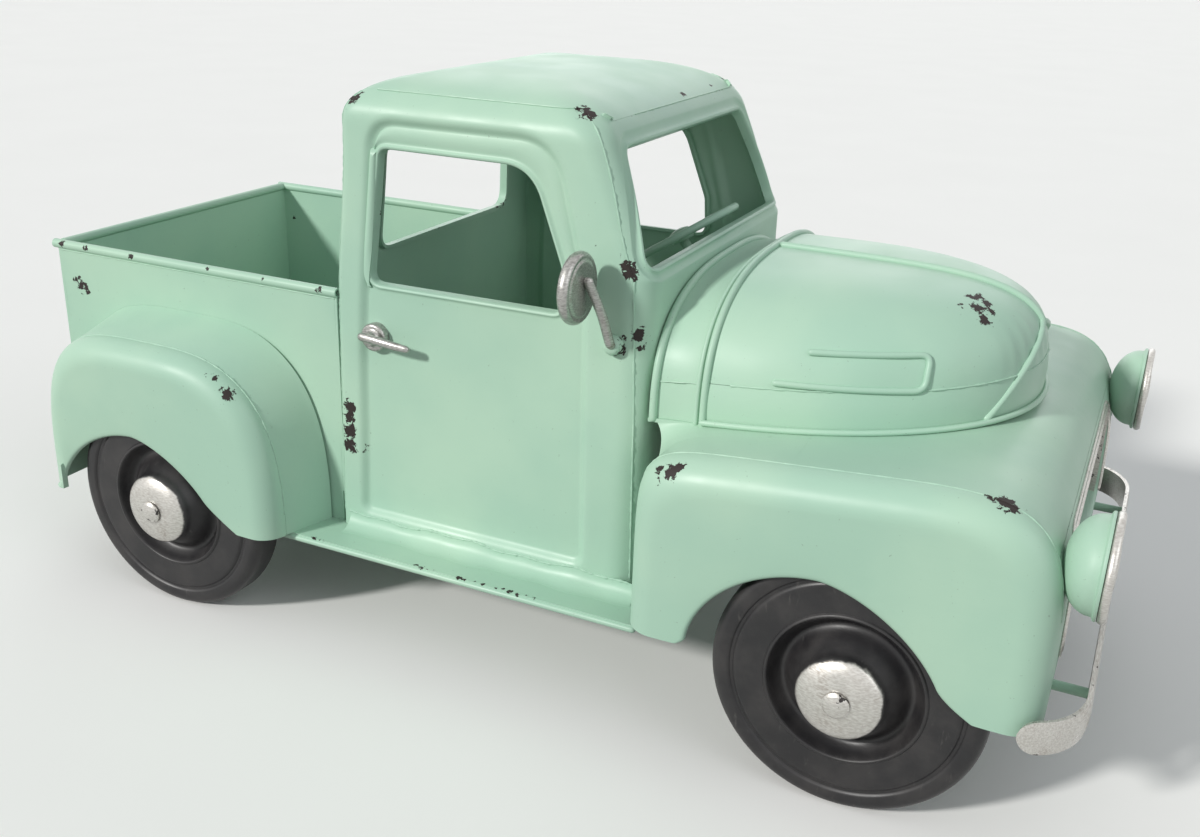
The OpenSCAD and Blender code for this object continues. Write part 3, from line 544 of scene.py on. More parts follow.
def skin(angles, seam, round_r, outline, hole):
    """Fender skin on the right: a quarter-round from the seam, a face with a slight crown, and an edge that turns
    in round the wheel opening."""
    rows = []
    for t in np.radians(np.linspace(0, 90, 12)):
        p = outline(angles, round_r * (1 - math.cos(t)))
        rows.append(xyz(p[:, 0], -seam - round_r * math.sin(t), p[:, 1]))
    rim, gap = outline(angles, round_r), hole(angles)
    length = np.linalg.norm(gap - rim, axis=1)
    for k in np.linspace(0.05, 1, 20):
        share = k * (1 - 1.4 / length)
        p = mix(rim, gap, share[:, None])
        rows.append(xyz(p[:, 0], -seam - round_r + 0.7 * k ** 3 * ramp(length, 4, 20), p[:, 1]))
    last = rows[-1][:, 1]
    for t in np.radians((30, 60, 90)):
        p = mix(rim, gap, (1 - 1.4 * (1 - math.sin(t)) / length)[:, None])
        rows.append(xyz(p[:, 0], last + 1.4 * (1 - math.cos(t)), p[:, 1]))
    return np.array(rows)


def rear_fender():
    """Skin and seam weld."""
    a = even_angles(rear_outline, 190)
    outer = sheet(skin(a, REAR_SEAM, REAR_ROUND, rear_outline, rear_opening), toward=(-3, -80, 60), edges="r")
    rim = rear_outline(a)
    seam = xyz(rim[:, 0], -REAR_SEAM - 0.1, rim[:, 1])
    return [outer, weld(seam[8:-8], 0.38, 1.3)]


def rear_arch():
    """Curved panel that joins the rear fender to the bed side."""
    a = even_angles(rear_outline, 190)
    rows = []
    for k in np.linspace(0, 1, 22):
        p = mix(rear_inner(a), rear_outline(a), k)
        gap = 0.15 + 0.75 * (1 - k) ** 6 * ramp(p[:, 0], 18, 42)
        y = mix(BED_Y + gap, REAR_SEAM - 0.1, k)
        rows.append(xyz(p[:, 0], -y, p[:, 1]))
    return [sheet(np.array(rows), toward=(-3, -80, 45))]


def front_fender():
    """Skin and seam weld."""
    a = even_angles(front_outline, 210)
    outer = sheet(skin(a, FRONT_SEAM, FRONT_ROUND, front_outline, front_opening), toward=(258, -80, 60), edges="r")
    rim = front_outline(a)
    seam = xyz(rim[:, 0], -FRONT_SEAM + 0.05, rim[:, 1])
    return [outer, weld(seam[10:-30], 0.3, 2.1)]


# ---- Hood ----

HOOD_L, HOOD_FOOT = HOOD_NOSE - HOOD_BACK, 106.6
HOOD_H = HOOD_Z - HOOD_FOOT
HOOD_SEAM = HOOD_FOOT + 16.4
PLAN_POWER = 2.2  # exponent of the hood seen from above


def hood_power(a):
    """Exponent of the upright section: 2.8 at the sides and 5 at the nose."""
    return mix(2.8, 5.0, np.cos(a) ** 2)


def hood_at(a, f):
    """Hood surface at plan angle a (right side, nose, left side) and share f of the plan's reach."""
    n = hood_power(a)
    c = np.abs(np.cos(a)) ** (2 / PLAN_POWER)
    s = np.sign(np.sin(a)) * np.abs(np.sin(a)) ** (2 / PLAN_POWER)
    return xyz(HOOD_BACK + HOOD_L * c * f, HOOD_Y * s * f,
                                        HOOD_FOOT + HOOD_H * (1 - f ** n) ** (1 / n))


def hood_share(a, z):
    """Share of the plan's reach at which the hood has a height."""
    n = hood_power(a)
    return np.clip(1 - (np.clip(z - HOOD_FOOT, 0, None) / HOOD_H) ** n, 0, 1) ** (1 / n)


def on_hood(x, y, lift=0.0):
    """Point of the hood above a place in plan, found by the superellipse share of that place."""
    u, w = np.clip((x - HOOD_BACK) / HOOD_L, 1e-6, None), np.abs(y) / HOOD_Y
    f = np.clip((u ** PLAN_POWER + w ** PLAN_POWER) ** (1 / PLAN_POWER), 0, 0.9999)
    a = np.arctan2(w ** (PLAN_POWER / 2), u ** (PLAN_POWER / 2))
    n = hood_power(a)
    return xyz(x, y, HOOD_FOOT + HOOD_H * (1 - f ** n) ** (1 / n) + lift)


def on_hood_side(x, z, lift=0.0):
    """Point of the hood's right side at a place along it and a height, lifted outward."""
    lo, hi = np.zeros(np.shape(x)), np.full(np.shape(x), HOOD_Y)
    for _ in range(40):
        y = (lo + hi) / 2
        above = on_hood(x, y)[..., 2] > z
        lo, hi = np.where(above, y, lo), np.where(above, hi, y)
    return xyz(x, -lo - lift, z)


def hood_seam(a):
    """Height of the seam between the hood's top and skirt, which rises forward."""
    return HOOD_SEAM + 0.075 * (hood_at(a, hood_share(a, HOOD_SEAM))[:, 0] - 238)


def hood():
    """Skirt with a slight swell and the top above their seam, with small dents along it and at the nose, the weld
    on the seam and the bead along the foot."""
    a = np.radians(np.linspace(-90, 90, 181))
    outward = xyz(np.cos(a), np.sin(a), 0)
    skirt_rows, top_rows = [], []
    foot = hood_at(a, np.ones_like(a))
    base, joint = deck_z(foot[:, 0]), hood_seam(a)
    nose = ramp(np.cos(a), 0.86, 0.97)
    for k in np.linspace(0, 1, 12):
        z = mix(base, joint - 0.12, k)
        f = hood_share(a, z)
        p = hood_at(a, f)
        p[:, 2] = z
        swell = 0.35 * math.sin(math.pi * k)
        skirt_rows.append(p + outward * swell)
    start = hood_share(a, joint)
    for k in np.linspace(0, 1, 64):
        f = start * math.cos(math.radians(89.2) * k ** 0.85)
        p = hood_at(a, f)
        dent = 0.5 * np.exp(-((k - 0.12) / 0.1) ** 2) * np.sin(a * 19) * ramp(np.abs(np.sin(a)), 0.2, 0.5)
        dent += 1.3 * nose * np.abs(np.sin(a * 33)) * math.exp(-(k / 0.2) ** 2) * ramp(np.array(k), 0.0, 0.03)
        p -= 0.35 * dent[:, None] * outward
        top_rows.append(p)
    top_rows.append(np.broadcast_to(top_rows[-1].mean(0) + (0, 0, 0.001), top_rows[-1].shape))
    inside = (230, 0, 100)
    skirt = sheet(np.array(skirt_rows), toward=inside)
    top = sheet(np.array(top_rows), toward=inside)
    seam = hood_at(a, hood_share(a, joint))
    ring = skirt_rows[0] + outward * 0.9 + (0, 0, 0.9)
    return [top, skirt, weld(seam[4:-4] + outward[4:-4] * 0.1, 0.42, 0.4), rod(ring, 1.0, 10)]


def hood_beads():
    """Pressed beads that stand out of the hood: V ribs at the nose, the side spear and the rear band."""
    parts = []
    for side in (-1, 1):
        rib = softened([(293.6, 0, 138), (292.0, 21, 129.3), (289.5, 39.0, 115.0)], 12)
        rib = spaced(rib, 30)
        rib_on = np.array([hood_near(p) for p in rib]) * (1, side, 1)
        parts.append(rod(rib_on, 1.25, 12))
    corner_path = softened([(234.0, 134.0), (268.4, 135.8), (268.4, 125.2), (225.0, 124.0)], 3.2, 8)
    path = spaced(corner_path, 110)
    spear = on_hood_side(path[:, 0], path[:, 1], 0.25)
    parts.append(rod(spear, 1.1, 10))
    parts += mirrored([parts[-1]])
    t = np.radians(np.linspace(0, 180, 90))
    band = section(HOOD_BACK, t, 0.35)
    parts.append(rod(band, 1.15, 12))
    return parts


def hood_near(p):
    """Point of the hood on the line from the point (240, 0, 112) inside it through p, a little proud."""
    origin = np.array([240.0, 0, 112])
    d = p - origin
    lo, hi = 0.2, 1.6
    for _ in range(40):
        k = (lo + hi) / 2
        q = origin + k * d
        if q[2] < HOOD_FOOT or on_hood(q[0], q[1])[2] > q[2] and hood_inside(q):
            lo = k
        else:
            hi = k
    return origin + lo * d


def hood_inside(q):
    """Whether a point lies within the hood's plan."""
    return (max(q[0] - HOOD_BACK, 0) / HOOD_L) ** PLAN_POWER + (abs(q[1]) / HOOD_Y) ** PLAN_POWER < 1


def section(x, t, lift=0.0):
    """Upright section of the cowl and hood back at one place along the truck, by polar angle from the right."""
    k = (np.asarray(x, float) - CAB_FRONT) / (HOOD_BACK - CAB_FRONT)
    y, high = mix(HOOD_Y - 0.5, HOOD_Y, k) + lift, mix(HOOD_Z - 5, HOOD_Z, k) + lift
    foot = deck_z(np.asarray(x, float))
    c, s = -np.cos(t), np.abs(np.sin(t))
    q = (np.abs(c) ** 2.8 + s ** 2.8) ** (-1 / 2.8)
    return xyz(x, y * q * c, foot + (high - foot) * q * s)


def cowl():
    """Band between cab and hood, hollow along the truck, with a bead at each end and a seam weld on each side."""
    t = np.radians(np.linspace(0, 180, 150))
    rows = [section(mix(CAB_FRONT + 0.1, HOOD_BACK - 0.3, k), t, -0.9 * math.sin(math.pi * k))
            for k in np.linspace(0, 1, 14)]
    band = sheet(np.array(rows), toward=(194, 0, 100))
    ends = ((CAB_FRONT + 1.6, 0.2, 1.3), (HOOD_BACK - 2.4, -0.1, 0.9))
    beads = [rod(section(x, t, lift), r, 12) for x, lift, r in ends]
    seam = weld(section(np.linspace(CAB_FRONT + 2, HOOD_BACK - 1, 12), np.radians(17.0), -0.3), 0.3, 0.7)
    return [band, *beads, seam, *mirrored([seam])]


# ---- Cab ----

FRONT_R, BACK_R, CREASE = 10.0, 4.0, 3.6
ROOF_REACH, ROOF_DROP, ROOF_SEAM = 43.0, 17.0, ROOF_Z - 6.3
LEAN, TUMBLE = 0.428, 0.026
DOOR_DEEP = -2.0
CAB_INSIDE = (125, 0, 120)
CORNER_POINTS = 13


def cab_plan(z):
    """Rear X, front X and half width of the cab at a height: walls that lean, the rear one only above the bed's
    rim, and above the drop of the roof a superellipse of exponent 2.5 that draws them in."""
    b = np.clip((z - (ROOF_Z - ROOF_DROP)) / ROOF_DROP, 0, 1)
    inset = ROOF_REACH * (1 - (1 - b ** 2.5) ** 0.4)
    return (CAB_BACK - 2.3 * ramp(182 - z, 0, 56) + inset, CAB_FRONT - LEAN * np.clip(z - RAISED, 0, None) - inset,
            CAB_Y - TUMBLE * (z - BOARD_Z) - inset)


def corner_r(z, front_end):
    """Radius of the cab's upright corners: the rear ones grow rounder towards the roof."""
    return FRONT_R + 0 * z if front_end else mix(1.6, BACK_R, ramp(z, 130, 182))


def turned(d, r):
    """Run along and inward after a distance d past the start of a corner of radius r."""
    d = np.clip(d, 0, None)
    t = np.minimum(d / r, np.pi / 2)
    return r * np.sin(t), r * (1 - np.cos(t)) + np.clip(d - r * np.pi / 2, 0, None)


def cab_side_at(s, z):
    """Right side of the cab: s is X on the flat and goes on round both corners at the same measure."""
    back, front, y = cab_plan(z)
    r = corner_r(z, False)
    on_f, in_f = turned(s - (front - FRONT_R), FRONT_R)
    on_b, in_b = turned(back + r - s, r)
    return xyz(np.clip(s, back + r, front - FRONT_R) + on_f - on_b, in_f + in_b - y, z)


def cab_end_at(front_end):
    """Front or rear face of the cab by distance across from the middle, which goes on round both corners."""
    def at(t, z):
        back, front, y = cab_plan(z)
        r = corner_r(z, front_end)
        along, inward = turned(np.abs(t) - (y - r), r)
        x = front - inward if front_end else back + inward
        return xyz(x, np.sign(t) * (np.minimum(np.abs(t), y - r) + along), z)
    return at


def seam_turn(z, front_end):
    """Angle round the cab's corner, from its side, at which the seam of the side pressing lies."""
    if not front_end:
        return np.full(np.shape(z), math.radians(50))
    near = [np.interp(z + d, (40, 105, 150, 160, 183, 201), (47, 35, 21.5, 23, 44, 47)) for d in (-6, -2, 2, 6)]
    return np.radians(sum(near) / 4)


def side_seam(z, front_end):
    """Measure s on the cab side at which its seam lies."""
    back, front, y = cab_plan(z)
    r = corner_r(z, front_end)
    d = r * seam_turn(z, front_end)
    return front - r + d if front_end else back + r - d


def end_seam(z, front_end):
    """Distance across the front or rear face, from its middle, at which its seam lies."""
    r = corner_r(z, front_end)
    return cab_plan(z)[2] - r + r * (np.pi / 2 - seam_turn(z, front_end))


def loop(corners, counts):
    """Closed outline of corners (u, v, radius), each turned by a parabola, with counts points along each side."""
    p = np.array([c[:2] for c in corners], float)
    out = []
    k = np.linspace(0, 1, CORNER_POINTS)[:, None]
    ends = []
    for i, c in enumerate(corners):
        a, b = p[i - 1] - p[i], p[(i + 1) % len(p)] - p[i]
        la, lb = np.linalg.norm(a), np.linalg.norm(b)
        half = math.acos(max(-1, min(1, float(a @ b / la / lb)))) / 2
        reach = min(c[2] / math.tan(half) if half < 1.55 else 1.0, 0.45 * la, 0.45 * lb)
        ends.append((p[i] + a / la * reach, p[i], p[i] + b / lb * reach))
    for i, (s, m, e) in enumerate(ends):
        out.append((1 - k) ** 2 * s + 2 * k * (1 - k) * m + k ** 2 * e)
        nxt = ends[(i + 1) % len(ends)][0]
        j = np.linspace(0, 1, counts[i] + 2)[1:-1, None]
        out.append(e + (nxt - e) * j)
    return np.concatenate(out)


def matched(outline, marks, counts):
    """Closed outline resampled so that it starts at the point nearest the first mark, with counts points between
    each mark and the next."""
    near = [int(np.argmin(np.hypot(*(outline - m).T))) for m in marks]
    ring = np.roll(outline, -near[0], 0)
    at = [(k - near[0]) % len(outline) for k in near] + [len(outline)]
    ring = np.concatenate([ring, ring[:1]])
    return np.concatenate([spaced(ring[a:b + 1], c + 1)[:-1] for a, b, c in zip(at[:-1], at[1:], counts)])


def grown(q, d):
    """Outline moved outward by d along its own normals."""
    t = np.roll(q, -1, 0) - np.roll(q, 1, 0)
    n = np.stack([t[:, 1], -t[:, 0]], -1)
    return q + d * n / np.linalg.norm(n, axis=1, keepdims=True)


def pressed(loops, surface, toward):
    """Sheet between matched outlines (inner first), each moved off the surface by its own height."""
    rows = []
    for q, lift in loops:
        at = surface(q[:, 0], q[:, 1])
        n = np.cross(surface(q[:, 0] + 0.02, q[:, 1]) - at, surface(q[:, 0], q[:, 1] + 0.02) - at)
        n /= np.linalg.norm(n, axis=1, keepdims=True)
        n *= np.sign(np.einsum("ij,ij->i", n, at - np.array(toward)))[:, None]
        rows.append(at + np.reshape(lift, (-1, 1)) * n)
    return sheet(np.array(rows), wrap=True, toward=toward, edges="r")


def between(a, b, count):
    """Rows on the surface from just past one outline to the other, which is the last of them."""
    return [(mix(a, b, k), 0.0) for k in np.linspace(0, 1, count + 2)[1:-1]] + [(b, 0.0)]


def ledges(q, *steps):
    """Rows of an outline grown by a distance and moved to a height at each step."""
    return [(grown(q, d), height) for d, height in steps]


def lipped(w, floor, jamb=3.0):
    """Rows of a window's edge: turned in to the depth of its jamb, over a rounded lip, and down to the panel."""
    return ledges(w, (-0.35, floor - jamb), (-0.2, floor - 0.6 * jamb), (0.0, floor - 0.3), (0.2, floor + 0.45),
                  (0.6, floor + 0.8), (1.1, floor + 0.8), (1.5, floor + 0.4), (1.9, floor + 0.06), (2.4, floor))


def cab_side():
    """Door side of the cab: a window with a deep jamb and a rounded lip, a door panel sunk behind a soft slope, and
    a frame out to the seams. The outlines are matched at the window's corners and at the same heights."""
    dense = (90, 90, 60, 90, 90)
    counts = (230, 18, 56, 84, 70)
    window = [(77.0, 134.9, 4.5), (152.6, 135.6, 4), (151.6, 151.0, 8), (139.6, 181.9, 15), (82.0, 182.0, 3.5)]
    w = loop(window, dense)
    door = loop([(73.2, 47.2, 3.5), (163.6, 47.6, 4), (160.8, 146, 26), (148.6, 192.0, 19), (78.6, 191.6, 11)], dense)
    door[:, 0] -= 1.6 * np.sin(np.pi * ramp(door[:, 1], 50, 190)) * ramp(110 - door[:, 0], 0, 20)
    up = np.linspace(BOARD_Z + 0.1, ROOF_SEAM - 0.02, 300)
    front, back = np.stack([side_seam(up, True), up], -1), np.stack([side_seam(up, False), up], -1)[::-1]
    bottom, top = np.linspace(back[-1], front[0], 200), np.linspace(front[-1], back[0], 200)
    outer = np.concatenate([bottom[:-1], front[:-1], top[:-1], back[:-1]])
    marks = [[c[:2] for c in window],
             [(71, 134), (162, 135), (160, 152), (148.6, 192.0), (78.6, 191.6)],
             [(back[-1, 0], 133), (front[0, 0], 135), (front[0, 0], 153), front[-1], back[0]]]
    w, door, o = (matched(q, m, counts) for q, m in zip((w, door, outer), marks))
    deep = DOOR_DEEP
    rows = lipped(w, deep, 2.8)
    swell = 0.5 * ramp(w[:, 1], 136, 150)
    for k in np.linspace(0, 1, 18)[1:-1]:
        rows.append((mix(grown(w, 2.4), grown(door, -1.8), k), deep + swell * np.sin(np.pi * k)))
    rows += ledges(door, (-1.8, deep - 0.05), (-1.3, deep + 0.05), (-0.6, deep + 0.5), (0.0, 0.5 * deep),
                   (0.7, 0.22 * deep), (1.4, 0.07 * deep), (2.0, 0.0))
    return [pressed(rows + between(grown(door, 2.0), o, 8), cab_side_at, CAB_INSIDE)]


def cab_end(front_end, w_corners, floor):
    """Front or rear panel of the cab round its window, out to the seams of the side pressings."""
    w = loop(w_corners, (120, 90, 120, 90))
    z_up = np.linspace(BOARD_Z + 0.1, ROOF_SEAM - 0.05, 300)
    right = np.stack([end_seam(z_up, front_end), z_up], -1)
    left = right[::-1] * (-1, 1)
    bottom, top = np.linspace(left[-1], right[0], 200), np.linspace(right[-1], left[0], 200)
    if front_end:
        top[:, 1] -= CREASE * ramp(right[-1, 0] - np.abs(top[:, 0]), 0.3, 4.8)
    outer = np.concatenate([bottom[:-1], right[:-1], top[:-1], left[:-1]])
    marks = [c[:2] for c in w_corners]
    foot, side = marks[1][1], right[150, 0]
    counts = (300, 90, 140, 90)
    w, o = matched(w, marks, counts), matched(outer, [(-side, foot), (side, foot), right[-1], left[0]], counts)
    rows = lipped(w, floor) + ledges(w, (3.3, floor), (4.0, floor * 0.4), (4.6, 0.0))
    return [pressed(rows + between(grown(w, 4.6), o, 26), cab_end_at(front_end), CAB_INSIDE)]


def cab_roof():
    """Domed roof in closed rows: the cab's plan at each inset of the superellipse, then drawn in to the middle."""
    side, t = np.linspace(0, 1, 60), np.linspace(0, np.pi / 2, 16)
    drop = CREASE * ramp(t, 0.85, 1.3)
    low = ROOF_SEAM - np.concatenate([0 * side[:-1], drop[:-1], 0 * side[:-1] + CREASE, drop[::-1][:-1], 0 * side[:-1],
                                      0 * t[:-1], 0 * side[:-1], 0 * t[:-1]])
    first = ROOF_REACH * (1 - (1 - ((low - ROOF_Z + ROOF_DROP) / ROOF_DROP) ** 2.5) ** 0.4)
    sizes = np.cumsum([59, 15, 59, 15, 59, 15, 59, 15])[:-1]
    rows = []
    for k in np.linspace(0, 1, 36) ** 1.3:
        inset = mix(first, ROOF_REACH, k)
        z = ROOF_Z - ROOF_DROP + ROOF_DROP * np.clip(1 - (1 - inset / ROOF_REACH) ** 2.5, 0, 1) ** 0.4 - 0.25 * k
        back, front = CAB_BACK + inset, CAB_FRONT - LEAN * (z - RAISED) - inset
        y = CAB_Y - TUMBLE * (z - BOARD_Z) - inset
        rf, rb = mix(FRONT_R, 3.0, k), mix(BACK_R, 3.0, k)
        part = [np.split(e, sizes) for e in (back, front, y)]
        b, f, w = ([e[i] for i in range(8)] for e in part)
        u, v = side[:-1], t[:-1]
        xs = [mix(b[0] + rb, f[0] - rf, u), f[1] - rf + rf * np.sin(v), f[2], f[3] - rf + rf * np.cos(v),
              mix(f[4] - rf, b[4] + rb, u), b[5] + rb - rb * np.sin(v), b[6], b[7] + rb - rb * np.cos(v)]
        ys = [-w[0], -w[1] + rf - rf * np.cos(v), mix(-w[2] + rf, w[2] - rf, u), w[3] - rf + rf * np.sin(v),
              w[4], w[5] - rb + rb * np.cos(v), mix(w[6] - rb, -w[6] + rb, u), -w[7] + rb - rb * np.sin(v)]
        rows.append(xyz(np.concatenate(xs), np.concatenate(ys), z))
    middle = rows[-1].mean(0)
    for k in (0.25, 0.5, 0.75, 0.999):
        rows.append(mix(rows[35], middle, k) + (0, 0, 0.15 * k))
    sides = [weld(rows[0][a:b] + (0, out * 0.15, 0.1), 0.32, seed)
             for a, b, out, seed in ((2, 66, -1, 0.6), (84, 148, 1, 1.9))]
    return [sheet(np.array(rows), wrap=True, toward=(113, 0, 150)), *sides]


def cab_welds(front_end):
    """Uneven weld along the seams of one end of the cab."""
    z = np.linspace(BOARD_Z + 6, ROOF_SEAM - 1, 120)
    t = end_seam(z, front_end)
    p = cab_end_at(front_end)(t, z)
    size = 0.42 if front_end else 0.28
    return [weld(p, size, 0.9 if front_end else 1.7), *mirrored([weld(p, size, 2.6)])]


# ---- Bed and boards ----

def bed_side():
    """Side wall with a faint hand-beaten waviness, its lower edge notched over the axle, and a rolled rim whose
    tube stands open at both ends."""
    notch = (-13.02, -12.98, 12.98, 13.02)
    x = np.unique(np.concatenate([np.linspace(BED_BACK + SHEET, BED_FRONT - SHEET, 110), notch]))
    low = np.where(np.abs(x) < 13, BED_FLOOR - 1.2, BOARD_Z)
    rows = []
    for k in np.linspace(0, 1, 60):
        z = mix(low, RIM_Z - 1.8, k)
        wave = 0.16 * np.sin(x / 17 + z / 23) * np.sin(z / 19) * ramp(z, 60, 75) * ramp(RIM_Z - z, 2, 10)
        rows.append(xyz(x, -BED_Y + 0 * x - wave.clip(-0.1, 0.1), z))
    wall = sheet(np.array(rows), toward=(0, 0, 90))
    tube = xyz(np.linspace(BED_BACK - 1.8, BED_FRONT, 90), -BED_Y + 0.6, RIM_Z - 1.8)
    lip = np.array([(BED_BACK + 2, -BED_Y - 0.05, RIM_Z - 3.9), (BED_FRONT - 1, -BED_Y - 0.05, RIM_Z - 3.9)])
    return [wall, pipe(tube, 1.8, 1.15), weld(spaced(lip, 90), 0.3, 0.3)]


def flat_end(x, z0, z1, half, out):
    """Upright plate across the bed with a slight crown, drawn as rows up its height."""
    y = np.linspace(-half, half, 100)
    rows = []
    for k in np.linspace(0, 1, 50):
        z = mix(z0, z1, k)
        swell = 0.12 * np.sin(np.pi * k) * np.cos(y / half * np.pi / 2) - 0.12
        rows.append(xyz(x + out * swell, y, 0 * y + z))
    return sheet(np.array(rows), toward=(0, 0, 90))


def tailgate():
    """Plate with a rolled rim, a hem bead under it and a round bead up each side."""
    inside = BED_Y - 0.6 - 1.8
    tube = xyz(BED_BACK + 0.6, np.linspace(-inside, inside, 80), RIM_Z - 1.8)
    plate = flat_end(BED_BACK, BOARD_Z, RIM_Z - 3.5, BED_Y, -1)
    hem = xyz(BED_BACK - 0.05, np.linspace(-inside, inside, 60), RIM_Z - 10)
    upright = [rod(spaced([(BED_BACK + 0.5, y, BOARD_Z + 1), (BED_BACK + 0.5, y, RIM_Z - 4)], 60), 0.9, 10)
               for y in (0.9 - BED_Y, BED_Y - 0.9)]
    return [plate, pipe(tube, 1.75, 1.1), rod(hem, 0.55, 10), *upright]


def running_board():
    """Board with a rolled outer edge and an uneven hollow fillet up to the cab, which ends in a welded crest."""
    x = np.linspace(WHEEL_R + 3, FENDER_BACK - 0.4, 130)
    rows = []
    for k in np.linspace(0, 1, 26):
        y = mix(CAB_Y, BOARD_Y - 0.4, k)
        rise = 0.02 * np.sin(x / 9)
        rows.append(xyz(x, 0 * x - y, BOARD_Z - 0.02 + 0 * x - abs(rise)))
    top = sheet(np.array(rows), toward=(120, -80, 0), edges="r")
    edge = xyz(np.linspace(WHEEL_R + 3.4, FENDER_BACK - 0.8, 150), -BOARD_Y + 0.6,
                     BOARD_Z - 1.75 + 0 * np.arange(150))
    roll = rod(edge, 1.18, 14, rim=0.9)
    x = np.linspace(CAB_BACK + 1, CAB_FRONT + 1, 160)
    reach = 5.6 + 0.5 * np.sin(x / 8) + 0.4 * np.sin(x / 3.1)
    t = np.radians(np.linspace(0, 90, 12))[:, None]
    fillet = xyz(x, -CAB_Y + 0.1 - reach * (1 - np.cos(t)) * 1.1,
                                          BOARD_Z + reach * (1 - np.sin(t)))
    crest = xyz(x, -CAB_Y + 0.15, BOARD_Z + reach)
    return [top, roll, sheet(fillet, t=0.6, toward=(120, -60, 30)), weld(crest, 0.5, 0.8)]


# ---- Nose, grille and bumper ----

def front_path(a0, a1, count):
    """Front fender outline between two polar angles at even distances."""
    return spaced(front_outline(np.radians(np.linspace(a0, a1, 400))), count)


def nose_panel():
    """Deck that rolls down at the nose, creased just above the grille, with the strips behind the fenders."""
    over = front_path(38.5, 105, 130)
    y = np.linspace(-FRONT_SEAM + 0.1, FRONT_SEAM - 0.1, 170)
    sag = 0.25 * np.sin(over[:, :1] / 13) * np.sin(y / 21) * ramp(np.abs(y), FRONT_SEAM, FRONT_SEAM - 20)
    deck = xyz(over[:, :1], y, over[:, 1:])
    deck[..., 2] -= np.abs(sag)
    parts = [sheet(deck, toward=(258, 0, 60))]
    back = front_path(105, 180, 90)
    x = np.linspace(back[0, 0], CAB_FRONT, 10)
    y_in = np.linspace(-HOOD_Y, HOOD_Y, 120)
    flat = xyz(x[:, None], y_in, (deck_z(x) - 0.05)[:, None])
    parts.append(sheet(flat, toward=(230, 0, 60)))
    strip_y = np.linspace(-FRONT_SEAM + 0.1, -HOOD_Y + 0.9, 24)
    side = xyz(back[:, :1], strip_y, back[:, 1:])
    side = sheet(side, toward=(258, -80, 60))
    low = front_path(105, 160, 90)
    low = low[low[:, 1] > 95]
    top_x = np.linspace(low[0, 0], CAB_FRONT + 2.2, len(low))
    wall = []
    for k in np.linspace(0, 1, 12):
        x, z = mix(top_x, low[:, 0], k ** 0.8), mix(deck_z(top_x), low[:, 1], k)
        wall.append(xyz(x, -HOOD_Y + 0.2 - k ** 2.2 * np.linspace(1, 13, len(low)), z))
    wall = sheet(np.array(wall), toward=(230, 0, 80))
    return parts + [side, wall, *mirrored([side, wall])]


GRILLE_Y, GRILLE_FOOT, GRILLE_TOP = 64.0, 56.0, 92.0
GRILLE = [(-GRILLE_Y, GRILLE_FOOT, 3), (GRILLE_Y, GRILLE_FOOT, 3), (GRILLE_Y, GRILLE_TOP, 9),
          (-GRILLE_Y, GRILLE_TOP, 9)]
LAMP_Y, LAMP_Z, LAMP_R = 81.0, 94.8, 16.0
LAMP_X = FACE_X - 3.4


def face_x_at(z):
    """X of the front face at a height, from the front fender outline."""
    p = front_outline(np.radians(np.linspace(0, 60, 400)))
    return np.interp(z, p[:, 1], p[:, 0])


def grille_panel():
    """Front face round the grille opening: matched outlines from the opening, over a lip, out to the edges."""
    hi = front_outline(np.radians([38.3]))[0, 1]
    counts = (110, 40, 110, 40)
    w = loop(GRILLE, counts)
    n = [CORNER_POINTS + c for c in counts]
    edge_y = FRONT_SEAM - 0.15
    corners = np.array([(-edge_y, FENDER_FOOT + 0.2), (edge_y, FENDER_FOOT + 0.2), (edge_y, hi), (-edge_y, hi)])
    edges = [np.linspace(corners[i], corners[(i + 1) % 4], n[i] + 1)[:-1] for i in range(4)]
    o = np.roll(np.concatenate(edges), CORNER_POINTS // 2, 0)

    def at(y, z):
        return xyz(face_x_at(z), y, z)
    rows = ledges(w, (-0.1, -3.4), (0, -1.0), (0.4, 0.0), (1.0, 0.35), (1.7, 0.3), (2.3, 0.0), (2.9, 0.25), (3.5, 0.0))
    return [pressed(rows + between(grown(w, 3.5), o, 18), at, (250, 0, 75))]


def grille_edge():
    """Bright lines bent round the grille opening on the front face."""
    parts = []
    for d, r in ((1.2, 0.75), (3.2, 0.5)):
        keep = grown(loop(GRILLE, (60, 20, 60, 20)), d)
        start = int(np.argmin(np.hypot(keep[:, 0] + GRILLE_Y, keep[:, 1] - GRILLE_FOOT)))
        keep = np.roll(keep, -start, 0)
        keep = keep[int(0.36 * len(keep)):]
        path = xyz(face_x_at(keep[:, 1]) + 0.35, keep[:, 0], keep[:, 1])
        parts.append(rod(path, r, 8, rim=1.2))
    return parts


